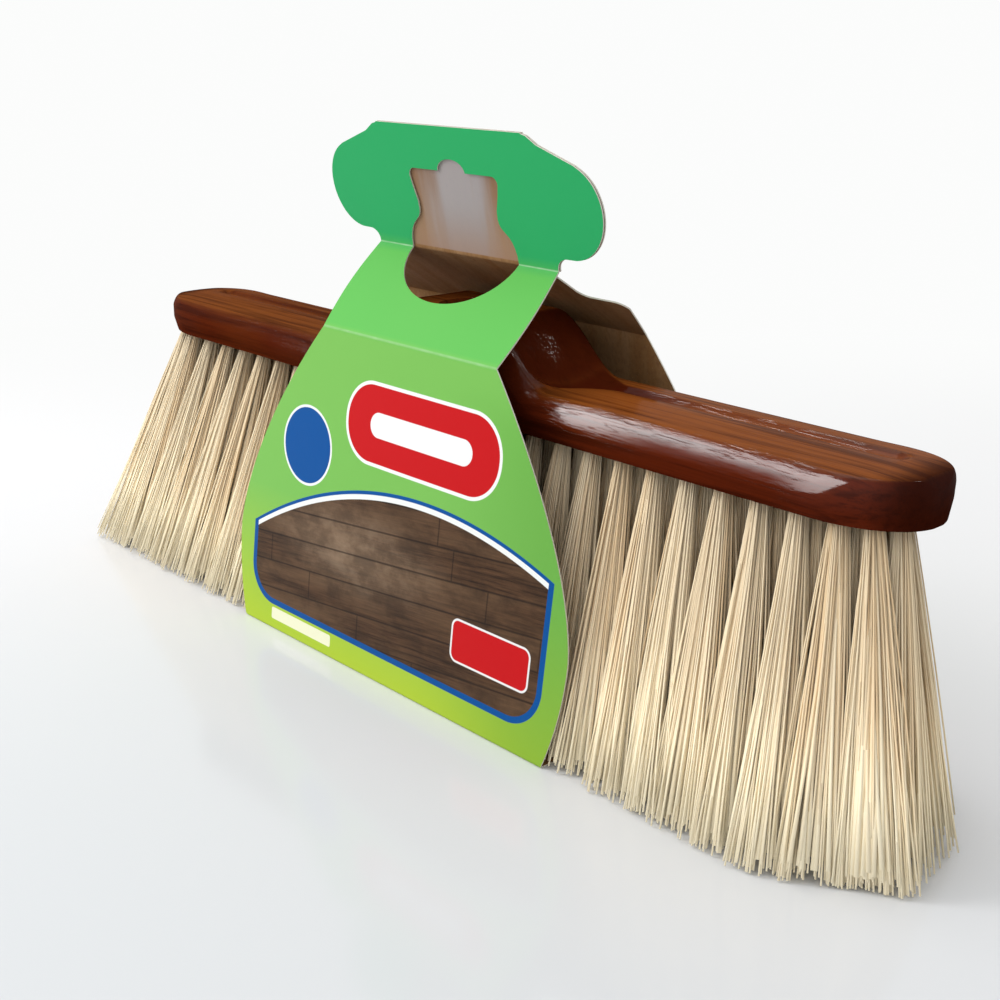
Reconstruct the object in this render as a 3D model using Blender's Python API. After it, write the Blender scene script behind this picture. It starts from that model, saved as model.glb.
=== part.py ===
"""Varnished wooden broom head with flared bristles, in its folded card sleeve with a hang tab.

Metres, +Z up. +X runs along the head, -Y is the sleeve's printed front, and the origin is on the
surface that the sleeve's base stands on, below the middle of the head.
"""
import math

import bmesh
import bpy

# Wooden block
BLOCK_LENGTH = 0.350
BLOCK_WIDTH = 0.043
BLOCK_UNDERSIDE_Z = 0.094
WING_THICKNESS = 0.0135
WING_CROWN = 0.001
BOSS_RISE = 0.0185
BOSS_TOP_LENGTH = 0.042
BOSS_FLANK_LENGTH = 0.030
LOWER_TAPER_HEIGHT = 0.0055
LOWER_TAPER_DEPTH = 0.0015
END_ROUND_LENGTH = 0.026
END_FLAT_WIDTH = 0.006

# Top edge all round: a slanted face with soft corners (roundness 1 is a flat chamfer, 2 a quarter ellipse)
TOP_EDGE_DEPTH = 0.0045
TOP_EDGE_HEIGHT = 0.0068
TOP_EDGE_ROUNDNESS = 1.4

# Finger groove along each wing, which opens into a scoop at the foot of the boss
GROOVE_DEPTH = 0.0024
GROOVE_NEAR_Y = 0.0005
GROOVE_FAR_Y = 0.0088
GROOVE_END_MARGIN = 0.014
SCOOP_DEPTH = 0.0038
SCOOP_LENGTH = 0.028
SCOOP_PAST_BOSS = 0.015
SCOOP_RUNOUT = 0.004
SCOOP_EDGE_MARGIN = 0.001

# Handle socket in the boss
SOCKET_DIAMETER = 0.022
SOCKET_DEPTH = 0.024
SOCKET_CHAMFER = 0.0015

# Bristle tufts: four rows, of which the two outer ones stop a column short at each end
COLUMN_COUNT = 28
ROW_COUNT = 4
SHORT_COLUMN_COUNT = 1
ALONG_STRAND_COUNT = 2
ACROSS_STRAND_COUNT = 2
TUFT_END_MARGIN = 0.00252
TUFT_SIDE_MARGIN = 0.008495
STRAND_SPACING = 0.0027
STRAND_ROOT_SIDE = 0.0019
STRAND_TIP_SIDE_X = 0.0036
STRAND_TIP_SIDE_Y = 0.0046
BRISTLE_TIP_LENGTH = 0.380
BRISTLE_TIP_WIDTH = 0.086
BACKING_THICKNESS = 0.0055
BACKING_MARGIN = 0.0017

# Card sleeve
CARD_THICKNESS = 0.0005
BRISTLE_SLEEVE_GAP = 0.00095
SLEEVE_BASE_LENGTH = 0.159
SLEEVE_WIDEST = 0.171
SLEEVE_WIDEST_AT = 0.082
FRONT_CREASE_LENGTH = 0.086
FRONT_CREASE_OUT = 0.0095
FRONT_CREASE_BELOW_BOSS = 0.010
REAR_CREASE_OUT = 0.0135
REAR_CREASE_BELOW_BOSS = 0.0075
SHOULDER_BULGE = 0.0015
NECK_Y = -0.005
NECK_ABOVE_BOSS = 0.017

# Rear shoulder: notched beside the neck on its +X side, straight on its -X side
REAR_NECK_LENGTH = 0.073
REAR_NOTCH_DEPTH = 0.020
REAR_NOTCH_RADIUS = 0.004
REAR_EAR_REACH = 0.054
REAR_NOTCHED_REACH = 0.0455
REAR_STRAIGHT_REACH = 0.0795

# Hang tab: two plies on the neck crease, with a window that runs on into the shoulder
TAB_HEIGHT = 0.0415
TAB_LEAN = math.radians(13)
TAB_TOP_LENGTH = 0.068
TAB_LENGTH = 0.128
TAB_FILLET = 0.0045
TAB_LOBE_TOP = 0.0340
TAB_LOBE_DEPTH = 0.014
TAB_CORNER_LENGTH = 0.006
TAB_CORNER_HEIGHT = 0.003
TAB_FOLD_CLEARANCE = 0.00085
PLY_GAP = 0.0003
WINDOW_NECK_WIDTH = 0.0515
WINDOW_WAIST_WIDTH = 0.0376
WINDOW_HEAD_WIDTH = 0.0420
WINDOW_WAIST_HEIGHT = 0.0140
WINDOW_HEIGHT = 0.0275
WINDOW_CORNER_RADIUS = 0.0025
WINDOW_FLARE_OUT = 0.0008
WINDOW_FLARE_UP = 0.005
WINDOW_HIP_OUT = 0.0045
WINDOW_DROP = 0.0200
NOTCH_WIDTH = 0.0130
NOTCH_HEIGHT = 0.0040

CLEARANCE = 0.0003

WING_TOP_Z = BLOCK_UNDERSIDE_Z + WING_THICKNESS
BOSS_TOP_Z = WING_TOP_Z + BOSS_RISE
HALF_LENGTH = BLOCK_LENGTH / 2
HALF_WIDTH = BLOCK_WIDTH / 2
BOSS_TOP_END = BOSS_TOP_LENGTH / 2
BOSS_FOOT = BOSS_TOP_END + BOSS_FLANK_LENGTH
SCOOP_END = BOSS_FOOT + SCOOP_PAST_BOSS
COLUMN_PITCH = (BLOCK_LENGTH - 2 * TUFT_END_MARGIN) / COLUMN_COUNT
ROW_PITCH = (BLOCK_WIDTH - 2 * TUFT_SIDE_MARGIN) / (ROW_COUNT - 1)
BASE_HALF_WIDTH = BRISTLE_TIP_WIDTH / 2 + BRISTLE_SLEEVE_GAP + CARD_THICKNESS / 2
NECK_Z = BOSS_TOP_Z + NECK_ABOVE_BOSS
FRONT_CREASE = (-HALF_WIDTH - FRONT_CREASE_OUT, BOSS_TOP_Z - FRONT_CREASE_BELOW_BOSS)
REAR_CREASE = (HALF_WIDTH + REAR_CREASE_OUT, BOSS_TOP_Z - REAR_CREASE_BELOW_BOSS)
TIP_Z = CARD_THICKNESS + CLEARANCE


def clear_scene():
    for item in list(bpy.data.objects):
        bpy.data.objects.remove(item)


def make_material(name, color, roughness, metallic=0.0):
    material = bpy.data.materials.new(name)
    material.use_nodes = True
    shader = material.node_tree.nodes["Principled BSDF"]
    shader.inputs["Base Color"].default_value = (*color, 1.0)
    shader.inputs["Roughness"].default_value = roughness
    shader.inputs["Metallic"].default_value = metallic
    material.diffuse_color = (*color, 1.0)
    return material


def make_object(name, mesh, material=None, parent=None):
    item = bpy.data.objects.new(name, mesh)
    bpy.context.scene.collection.objects.link(item)
    if material:
        mesh.materials.append(material)
    if parent:
        item.parent = parent
    return item


def mesh_from_bmesh(name, shape, smooth_angle=None):
    bmesh.ops.recalc_face_normals(shape, faces=shape.faces)
    mesh = bpy.data.meshes.new(name)
    shape.to_mesh(mesh)
    shape.free()
    if smooth_angle:
        mesh.shade_smooth()
        mesh.set_sharp_from_angle(angle=math.radians(smooth_angle))
    return mesh


def loft(sections):
    """Closed solid through rings of equal point count, with a flat cap on the first and the last."""
    shape = bmesh.new()
    rings = [[shape.verts.new(point) for point in section] for section in sections]
    for ring, following in zip(rings, rings[1:]):
        for index in range(len(ring)):
            after = (index + 1) % len(ring)
            shape.faces.new((ring[index], ring[after], following[after], following[index]))
    shape.faces.new(rings[0])
    shape.faces.new(rings[-1])
    return shape


def ease(value, start, end):
    """0 up to start, 1 from end on, and half a cosine wave between them."""
    share = min(max((value - start) / (end - start), 0.0), 1.0)
    return (1 - math.cos(math.pi * share)) / 2


def block_half_width(x):
    """Straight sides, with a half-elliptical nose at each end."""
    into_nose = (abs(x) - (HALF_LENGTH - END_ROUND_LENGTH)) / END_ROUND_LENGTH
    tip = END_FLAT_WIDTH / 2
    return tip + (HALF_WIDTH - tip) * math.sqrt(1 - min(max(into_nose, 0.0), 1.0) ** 2)


def block_top(x):
    """Height of the top edge: the wing, the boss, and the rounded drop at the very end."""
    rise = BOSS_RISE * (1 - ease(abs(x), BOSS_TOP_END, BOSS_FOOT))
    out = min(max(abs(x) - (HALF_LENGTH - TOP_EDGE_DEPTH), 0.0) / TOP_EDGE_DEPTH, 1.0)
    drop = TOP_EDGE_HEIGHT * (1 - (1 - out ** TOP_EDGE_ROUNDNESS) ** (1 / TOP_EDGE_ROUNDNESS))
    return WING_TOP_Z + rise - drop


def groove_edges(x, land):
    """The groove's near and far edge and its depth at a station along the head."""
    open_land = HALF_WIDTH - TOP_EDGE_DEPTH - SCOOP_EDGE_MARGIN
    scoop_start = SCOOP_END - SCOOP_LENGTH
    near = -open_land + (open_land + GROOVE_NEAR_Y) * ease(abs(x), scoop_start, SCOOP_END)
    far_start = scoop_start + 2 * SCOOP_RUNOUT
    far = open_land - (open_land - GROOVE_FAR_Y) * ease(abs(x), far_start, SCOOP_END - SCOOP_RUNOUT)
    depth = GROOVE_DEPTH * ease(abs(x), BOSS_TOP_END, scoop_start)
    swell = ease(abs(x), BOSS_TOP_END, scoop_start) * (1 - ease(abs(x), scoop_start, SCOOP_END))
    depth += (SCOOP_DEPTH - GROOVE_DEPTH) * swell
    radius = (far - near) / 2
    end = HALF_LENGTH - GROOVE_END_MARGIN
    into_end = min(max((abs(x) - (end - radius)) / radius, 0.0), 1.0)
    closing = math.sqrt(1 - into_end ** 2)
    opening = max(radius * closing, land / 5)
    limit = land - SCOOP_EDGE_MARGIN * land / open_land - opening
    middle = min(max((near + far) / 2, -limit), limit)
    return middle - opening, middle + opening, depth * closing


def block_section(x):
    """Ring of points around the block at one station: taper, side, slanted edge, land and groove."""
    half = block_half_width(x)
    top = block_top(x)
    slant = min(TOP_EDGE_DEPTH, half * 0.8)
    height = min(TOP_EDGE_HEIGHT, top - BLOCK_UNDERSIDE_Z - LOWER_TAPER_HEIGHT)
    taper = min(LOWER_TAPER_DEPTH, half / 4)
    land = half - slant
    near, far, depth = groove_edges(x, land)
    crown = WING_CROWN * ease(abs(x), BOSS_TOP_END, BOSS_FOOT) * (land / (HALF_WIDTH - TOP_EDGE_DEPTH)) ** 2

    def surface(y):
        return top + crown * (1 - (y / land) ** 2)

    side = [(half - taper, BLOCK_UNDERSIDE_Z), (half, BLOCK_UNDERSIDE_Z + LOWER_TAPER_HEIGHT)]
    for step in range(7):
        angle = math.radians(90) * step / 6
        inward = 1 - max(math.cos(angle), 0.0) ** (2 / TOP_EDGE_ROUNDNESS)
        upward = math.sin(angle) ** (2 / TOP_EDGE_ROUNDNESS)
        side.append((half - slant * inward, top - height + height * upward))
    over = []
    for step in range(9):
        share = step / 4 - 1
        y = (near + far) / 2 - (far - near) / 2 * share
        over.append((y, surface(y) - depth * (1 - share ** 2)))
    rear_land = ((land + far) / 2, surface((land + far) / 2))
    front_land = ((near - land) / 2, surface((near - land) / 2))
    ring = side + [rear_land] + over + [front_land] + [(-y, z) for y, z in reversed(side)]
    return [(x, y, z) for y, z in ring]


def block_stations():
    """Stations along one half: close together on the boss's flank, the scoop and the nose."""
    stations = [BOSS_TOP_END * 0.6]
    stations += [BOSS_TOP_END + (SCOOP_END - BOSS_TOP_END) * step / 12 for step in range(13)]
    nose = HALF_LENGTH - END_ROUND_LENGTH
    stations += [SCOOP_END + (nose - SCOOP_END) * step / 6 for step in range(1, 6)]
    stations += [nose + END_ROUND_LENGTH * math.sin(math.radians(90) * step / 9) for step in range(10)]
    return stations


def turned_cutter(name, profile, segments=32):
    """Closed solid turned round +Z from a profile of (radius, z) points that starts and ends at radius 0."""
    shape = bmesh.new()
    line = [shape.verts.new((radius, 0, z)) for radius, z in profile]
    edges = [shape.edges.new(pair) for pair in zip(line, line[1:])]
    bmesh.ops.spin(shape, geom=line + edges, axis=(0, 0, 1), cent=(0, 0, 0), steps=segments, angle=math.tau)
    bmesh.ops.remove_doubles(shape, verts=shape.verts, dist=0.00001)
    return make_object(name, mesh_from_bmesh(name, shape))


def box_cutter(name, low, high):
    shape = bmesh.new()
    bmesh.ops.create_cube(shape, size=1)
    for vert in shape.verts:
        vert.co = [low[axis] if vert.co[axis] < 0 else high[axis] for axis in range(3)]
    return make_object(name, mesh_from_bmesh(name, shape))


def cut(target, cutter):
    cutter.hide_render = True
    cutter.display_type = "WIRE"
    modifier = target.modifiers.new(cutter.name, "BOOLEAN")
    modifier.operation = "DIFFERENCE"
    modifier.object = cutter


def backing_half_width(column):
    """The strip under a column reaches past its outermost tuft by the backing margin."""
    rows = ROW_COUNT if is_full(column) else ROW_COUNT - 2
    tuft_half = (STRAND_SPACING * (ACROSS_STRAND_COUNT - 1) + STRAND_ROOT_SIDE) / 2
    return (rows - 1) / 2 * ROW_PITCH + tuft_half + BACKING_MARGIN


def is_full(column):
    return SHORT_COLUMN_COUNT <= column < COLUMN_COUNT - SHORT_COLUMN_COUNT


def build_block(material):
    half = block_stations()
    stations = [-x for x in reversed(half)] + half
    shape = loft([block_section(x) for x in stations])
    block = make_object("wooden_block", mesh_from_bmesh("wooden_block", shape, 32), material)
    pocket_top = BLOCK_UNDERSIDE_Z + BACKING_THICKNESS + CLEARANCE
    below = BLOCK_UNDERSIDE_Z - LOWER_TAPER_HEIGHT
    for name, columns, column in (("full_pocket", COLUMN_COUNT - 2 * SHORT_COLUMN_COUNT, SHORT_COLUMN_COUNT),
                                  ("end_pocket", COLUMN_COUNT, 0)):
        reach = columns * COLUMN_PITCH / 2 + CLEARANCE / 2
        width = backing_half_width(column) + CLEARANCE
        cut(block, box_cutter(name, (-reach, -width, below), (reach, width, pocket_top)))
    radius = SOCKET_DIAMETER / 2
    floor = BOSS_TOP_Z - SOCKET_DEPTH
    mouth = BOSS_TOP_Z + SOCKET_CHAMFER
    profile = [(0, floor), (radius, floor), (radius, BOSS_TOP_Z - SOCKET_CHAMFER),
               (radius + 2 * SOCKET_CHAMFER, mouth), (0, mouth)]
    cut(block, turned_cutter("socket_cutter", profile))
    return block


def strand_positions(count, pitch, spacing, per_tuft):
    """Root and tip share of each strand across one direction: tufts at the root, even at the tips."""
    roots = []
    for tuft in range(count):
        middle = (tuft - (count - 1) / 2) * pitch
        roots += [middle + (index - (per_tuft - 1) / 2) * spacing for index in range(per_tuft)]
    shares = [2 * index / (len(roots) - 1) - 1 for index in range(len(roots))]
    return list(zip(roots, shares))


def strand_mesh(root, tip):
    """Four-sided strand that widens from its root in the backing to its trimmed tip."""
    shape = bmesh.new()
    rings = []
    top = BLOCK_UNDERSIDE_Z + BACKING_THICKNESS / 2
    for (x, y), z, side_x, side_y in ((root, top, STRAND_ROOT_SIDE, STRAND_ROOT_SIDE),
                                      (root, BLOCK_UNDERSIDE_Z, STRAND_ROOT_SIDE, STRAND_ROOT_SIDE),
                                      (tip, TIP_Z, STRAND_TIP_SIDE_X, STRAND_TIP_SIDE_Y)):
        corners = ((-1, -1), (1, -1), (1, 1), (-1, 1))
        rings.append([shape.verts.new((x + side_x / 2 * i, y + side_y / 2 * j, z)) for i, j in corners])
    for ring, following in zip(rings, rings[1:]):
        for index in range(4):
            after = (index + 1) % 4
            shape.faces.new((ring[index], ring[after], following[after], following[index]))
    shape.faces.new(rings[0])
    shape.faces.new(rings[-1])
    return shape


def build_tuft_column(column, material):
    """One column of tufts across the head, fused to the slice of backing that holds it."""
    along = strand_positions(COLUMN_COUNT, COLUMN_PITCH, STRAND_SPACING, ALONG_STRAND_COUNT)
    across = strand_positions(ROW_COUNT, ROW_PITCH, STRAND_SPACING, ACROSS_STRAND_COUNT)
    if not is_full(column):
        across = across[ACROSS_STRAND_COUNT:-ACROSS_STRAND_COUNT]
    along = along[column * ALONG_STRAND_COUNT:(column + 1) * ALONG_STRAND_COUNT]
    tip_x = (BRISTLE_TIP_LENGTH - STRAND_TIP_SIDE_X) / 2
    tip_y = (BRISTLE_TIP_WIDTH - STRAND_TIP_SIDE_Y) / 2
    strands = bmesh.new()
    for root_x, share_x in along:
        for root_y, share_y in across:
            strand = strand_mesh((root_x, root_y), (share_x * tip_x, share_y * tip_y))
            piece = bpy.data.meshes.new("strand")
            bmesh.ops.recalc_face_normals(strand, faces=strand.faces)
            strand.to_mesh(piece)
            strand.free()
            strands.from_mesh(piece)
            bpy.data.meshes.remove(piece)
    name = f"tuft_column_{column + 1:02d}"
    bundle = make_object(f"{name}_strands", mesh_from_bmesh(name, strands))
    middle = (column - (COLUMN_COUNT - 1) / 2) * COLUMN_PITCH
    reach = (COLUMN_PITCH - CLEARANCE) / 2
    width = backing_half_width(column)
    slab = box_cutter(name, (middle - reach, -width, BLOCK_UNDERSIDE_Z),
                      (middle + reach, width, BLOCK_UNDERSIDE_Z + BACKING_THICKNESS))
    slab.data.materials.append(material)
    union = slab.modifiers.new("strands", "BOOLEAN")
    union.operation = "UNION"
    union.object = bundle
    bundle.hide_render = True
    bundle.display_type = "WIRE"
    return slab


def build_sheet(name, outline, origin, direction, offset, material, parent=None):
    """Card panel: an outline of (x, distance) pairs laid on a plane that holds the X axis.

    The plane starts at origin (y, z) and runs along direction (y, z). Offset moves the sheet's
    middle off that plane, to the left of the direction as seen from +X.
    """
    size = math.hypot(*direction)
    along = (direction[0] / size, direction[1] / size)
    normal = (-along[1], along[0])
    shape = bmesh.new()
    faces = []
    for shift in (offset - CARD_THICKNESS / 2, offset + CARD_THICKNESS / 2):
        ring = [shape.verts.new((x, origin[0] + along[0] * s + normal[0] * shift,
                                 origin[1] + along[1] * s + normal[1] * shift)) for x, s in outline]
        faces.append(ring)
    for index in range(len(outline)):
        after = (index + 1) % len(outline)
        shape.faces.new((faces[0][index], faces[0][after], faces[1][after], faces[1][index]))
    shape.faces.new(faces[0])
    shape.faces.new(faces[1])
    return make_object(name, mesh_from_bmesh(name, shape), material, parent)


def outlined(plus, minus):
    """Closed outline from the reach and distance of its +X and -X edges, both read in the same direction."""
    return plus + [(-x, s) for x, s in reversed(minus) if x > 0]


def mirrored(points):
    """Closed outline from the points of its +X half, read from one end of the centre line to the other."""
    return outlined(points, points)


def arc(centre, radius, start, end, steps):
    """Points on an arc in the (x, distance) plane, angles in degrees; radius may be a pair."""
    wide, high = radius if isinstance(radius, tuple) else (radius, radius)
    angles = [math.radians(start + (end - start) * step / steps) for step in range(steps + 1)]
    return [(centre[0] + wide * math.cos(a), centre[1] + high * math.sin(a)) for a in angles]


def panel_reach(s, length, crease_reach):
    """The big panels swell from the shoulder crease to their widest line and draw in to the base."""
    half = SLEEVE_WIDEST / 2
    if s < SLEEVE_WIDEST_AT:
        return half - (half - crease_reach) * ((SLEEVE_WIDEST_AT - s) / SLEEVE_WIDEST_AT) ** 1.6
    share = (s - SLEEVE_WIDEST_AT) / (length - SLEEVE_WIDEST_AT)
    return half - (half - SLEEVE_BASE_LENGTH / 2) * share ** 2


def build_sleeve(material):
    """Base, front and rear panels, and the two shoulders that lean in to the neck crease."""
    length = SLEEVE_BASE_LENGTH / 2
    base_reach = BASE_HALF_WIDTH - CARD_THICKNESS / 2 - CLEARANCE
    base = mirrored([(length, -base_reach), (length, base_reach)])
    build_sheet("sleeve_base", base, (0, CARD_THICKNESS / 2), (1, 0), 0, material)
    front = FRONT_CREASE_LENGTH / 2
    panels = (("sleeve_front_panel", -BASE_HALF_WIDTH, FRONT_CREASE, front, front),
              ("sleeve_rear_panel", BASE_HALF_WIDTH, REAR_CREASE, REAR_NOTCHED_REACH, REAR_STRAIGHT_REACH))
    for name, foot_y, crease, plus, minus in panels:
        run = (foot_y - crease[0], CARD_THICKNESS / 2 - crease[1])
        height = math.hypot(*run)
        stations = [CLEARANCE + (height - CLEARANCE) * step / 14 for step in range(15)]
        edges = [[(panel_reach(s, height, reach), s) for s in stations] for reach in (plus, minus)]
        build_sheet(name, outlined(*edges), crease, run, 0, material)
    build_front_shoulder(material)
    build_rear_shoulder(material)


def build_front_shoulder(material):
    """Front shoulder with the lower lobe of the window open at the neck crease."""
    run = (NECK_Y - FRONT_CREASE[0], NECK_Z - FRONT_CREASE[1])
    length = math.hypot(*run)
    outline = []
    steps = 8
    for step in range(steps + 1):
        s = CLEARANCE + (length - CLEARANCE) * step / steps
        outline.append((FRONT_CREASE_LENGTH / 2 + SHOULDER_BULGE * math.sin(math.pi * step / steps), s))
    lobe = arc((0, length), (WINDOW_NECK_WIDTH / 2, WINDOW_DROP), 0, -90, 10)
    half = [(0, CLEARANCE)] + outline + lobe
    build_sheet("sleeve_front_shoulder", mirrored(half), FRONT_CREASE, run, 0, material)


def build_rear_shoulder(material):
    """Rear shoulder: a notch and an ear on its +X edge, one straight line on its -X edge."""
    run = (REAR_CREASE[0] - NECK_Y, REAR_CREASE[1] - NECK_Z)
    length = math.hypot(*run)
    neck = REAR_NECK_LENGTH / 2
    radius = REAR_NOTCH_RADIUS
    start = CARD_THICKNESS / 2 + CLEARANCE
    end = length - CLEARANCE
    notched = [(0, start), (neck, start)]
    notched += arc((neck + radius, REAR_NOTCH_DEPTH - radius), radius, 180, 90, 5)
    notched += arc((REAR_EAR_REACH - radius, REAR_NOTCH_DEPTH + radius), radius, -90, 0, 5)
    notched += [(REAR_NOTCHED_REACH, end)]
    straight = [(neck, start), (REAR_STRAIGHT_REACH, end)]
    build_sheet("sleeve_rear_shoulder", outlined(notched, straight), (NECK_Y, NECK_Z), run, 0, material)


def tab_half_outline():
    """The hang tab's edge from the neck crease up to its straight top edge."""
    neck = FRONT_CREASE_LENGTH / 2
    lobe_height = (TAB_LOBE_TOP - TAB_FILLET) / 2
    edge = [(neck, TAB_FOLD_CLEARANCE)]
    edge += arc((neck + TAB_FILLET, TAB_FOLD_CLEARANCE), (TAB_FILLET, TAB_FILLET - TAB_FOLD_CLEARANCE), 180, 90, 4)
    edge += arc((TAB_LENGTH / 2 - TAB_LOBE_DEPTH, TAB_FILLET + lobe_height), (TAB_LOBE_DEPTH, lobe_height), -90, 60, 12)
    top = TAB_TOP_LENGTH / 2
    edge += [(top + TAB_CORNER_LENGTH, TAB_HEIGHT - TAB_CORNER_HEIGHT),
             (top + TAB_CORNER_LENGTH / 3, TAB_HEIGHT - TAB_CORNER_HEIGHT / 6), (top, TAB_HEIGHT)]
    return edge


def window_half_outline():
    """The window's edge from its top notch down to the neck crease."""
    edge = arc((0, WINDOW_HEIGHT), (NOTCH_WIDTH / 2, NOTCH_HEIGHT), 90, 0, 5)
    head = WINDOW_HEAD_WIDTH / 2
    corner = WINDOW_CORNER_RADIUS
    edge += arc((head - corner, WINDOW_HEIGHT - corner), corner, 90, 0, 3)
    waist = WINDOW_WAIST_WIDTH / 2
    neck = WINDOW_NECK_WIDTH / 2
    edge += [(waist + WINDOW_FLARE_OUT, WINDOW_WAIST_HEIGHT + WINDOW_FLARE_UP), (waist, WINDOW_WAIST_HEIGHT)]
    edge += [(waist + WINDOW_HIP_OUT / 4, WINDOW_WAIST_HEIGHT * 0.82)]
    edge += [(waist + WINDOW_HIP_OUT, WINDOW_WAIST_HEIGHT * 0.6)]
    edge += [(neck - WINDOW_FLARE_OUT, WINDOW_WAIST_HEIGHT * 0.3), (neck, TAB_FOLD_CLEARANCE)]
    return edge


def build_tab(outside, inside):
    """Two plies standing on the neck crease, on an empty that lies on the fold's axis."""
    fold = bpy.data.objects.new("tab_fold_axis", None)
    bpy.context.scene.collection.objects.link(fold)
    fold.location = (0, NECK_Y, NECK_Z)
    fold.rotation_euler = (TAB_LEAN, 0, 0)
    edge = tab_half_outline()
    window = window_half_outline()
    whole = edge + [(-x, s) for x, s in reversed(edge)]
    pierced = whole + [(-x, s) for x, s in reversed(window)] + window[1:]
    shift = (CARD_THICKNESS + PLY_GAP) / 2
    build_sheet("hang_tab_front_ply", pierced, (0, 0), (0, 1), shift, outside, fold)
    build_sheet("hang_tab_rear_ply", whole, (0, 0), (0, 1), -shift, inside, fold)


def main():
    clear_scene()
    varnished_wood = make_material("varnished_wood", (0.16, 0.035, 0.012), 0.18)
    bristle = make_material("cream_bristle", (0.72, 0.61, 0.42), 0.55)
    printed_card = make_material("printed_card", (0.20, 0.50, 0.12), 0.45)
    plain_card = make_material("plain_card", (0.30, 0.20, 0.13), 0.85)
    build_block(varnished_wood)
    for column in range(COLUMN_COUNT):
        build_tuft_column(column, bristle)
    build_sleeve(printed_card)
    build_tab(printed_card, plain_card)
    bpy.context.view_layer.update()


main()
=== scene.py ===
"""Varnished wooden broom head with flared bristles, in a folded card sleeve with a hang tab.

Metres, +Z up. +X runs along the head and -Y is the sleeve's printed front.
"""
import math

import bmesh
import bpy
import numpy as np
from mathutils import Matrix, Vector


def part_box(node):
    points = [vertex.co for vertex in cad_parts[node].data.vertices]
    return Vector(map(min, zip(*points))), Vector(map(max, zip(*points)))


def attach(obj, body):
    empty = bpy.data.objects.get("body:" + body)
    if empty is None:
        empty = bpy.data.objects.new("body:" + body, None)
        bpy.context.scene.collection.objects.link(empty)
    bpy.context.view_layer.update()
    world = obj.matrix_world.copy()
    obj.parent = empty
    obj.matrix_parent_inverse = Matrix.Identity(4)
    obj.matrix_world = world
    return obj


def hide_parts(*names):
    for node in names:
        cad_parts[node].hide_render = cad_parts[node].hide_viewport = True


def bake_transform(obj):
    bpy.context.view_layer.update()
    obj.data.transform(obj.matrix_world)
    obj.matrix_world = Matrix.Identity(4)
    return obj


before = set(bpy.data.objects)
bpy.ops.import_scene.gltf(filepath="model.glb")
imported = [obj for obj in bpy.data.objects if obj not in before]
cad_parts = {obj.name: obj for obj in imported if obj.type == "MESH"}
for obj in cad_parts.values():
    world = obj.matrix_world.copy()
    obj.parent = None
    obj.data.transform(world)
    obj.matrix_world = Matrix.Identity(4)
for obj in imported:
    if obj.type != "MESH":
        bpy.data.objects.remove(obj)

bl_info = {
    "name": "Broom Head",
    "version": (1, 0, 0),
    "blender": (4, 5, 0),
    "location": "View3D > Sidebar > Broom",
    "description": "Makes a varnished broom head with its bristles, card sleeve, studio and camera",
    "category": "Object",
}

BLOCK_LOW, BLOCK_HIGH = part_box("wooden_block")
BASE_LOW, BASE_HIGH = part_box("sleeve_base")
TUFT_COLUMNS = sorted(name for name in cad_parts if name.startswith("tuft_column_"))
TUFT_BUNDLES = ("tufts_far_end", "tufts_far_middle", "tufts_near_middle", "tufts_near_end")
DISTANCE = {"subtype": "DISTANCE", "unit": "LENGTH"}
COLOR = {"subtype": "COLOR", "size": 3, "min": 0, "max": 1}


# Property groups


class BlockSettings(bpy.types.PropertyGroup):
    """Sizes and stain of the wooden block."""

    length: bpy.props.FloatProperty(
        name="Length", description="Length of the block", default=BLOCK_HIGH.x - BLOCK_LOW.x, **DISTANCE)
    width: bpy.props.FloatProperty(
        name="Width", description="Width of the block", default=BLOCK_HIGH.y - BLOCK_LOW.y, **DISTANCE)
    underside: bpy.props.FloatProperty(
        name="Underside Height", description="Height of the face that the tufts come out of", default=BLOCK_LOW.z,
        **DISTANCE)
    boss_top: bpy.props.FloatProperty(
        name="Boss Height", description="Height of the boss's flat top", default=BLOCK_HIGH.z, **DISTANCE)
    boss_rise: bpy.props.FloatProperty(
        name="Boss Rise", description="How far the boss stands above the wings", default=0.0185, **DISTANCE)
    edge_depth: bpy.props.FloatProperty(
        name="Edge Depth", description="How far the slanted top edge reaches in from the side", default=0.0045,
        **DISTANCE)
    edge_height: bpy.props.FloatProperty(
        name="Edge Height", description="How far the slanted top edge reaches down the side", default=0.0068,
        **DISTANCE)
    socket_diameter: bpy.props.FloatProperty(
        name="Socket Diameter", description="Bore of the handle socket", default=0.022, **DISTANCE)
    thread_pitch: bpy.props.FloatProperty(
        name="Thread Pitch", description="Rise of the socket's thread in one turn", default=0.005, **DISTANCE)
    stain: bpy.props.FloatVectorProperty(
        name="Stain", description="Colour of the stained wood", default=(0.095, 0.013, 0.0035), **COLOR)
    # Paler stain colour, used for random thin patches and as painted light on the upward faces
    pale_stain_and_painted_light: bpy.props.FloatVectorProperty(
        name="Pale Stain and Painted Light", description="Colour where the stain is thin", default=(0.235, 0.066, 0.011), **COLOR)
    # Used for the grain lines and also as painted shade on the flanks, scoop, end faces and -X half
    dark: bpy.props.FloatVectorProperty(
        name="Dark Grain and Painted Shade", description="Colour of the darkest grain lines", default=(0.022, 0.0035, 0.0015), **COLOR)


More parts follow.
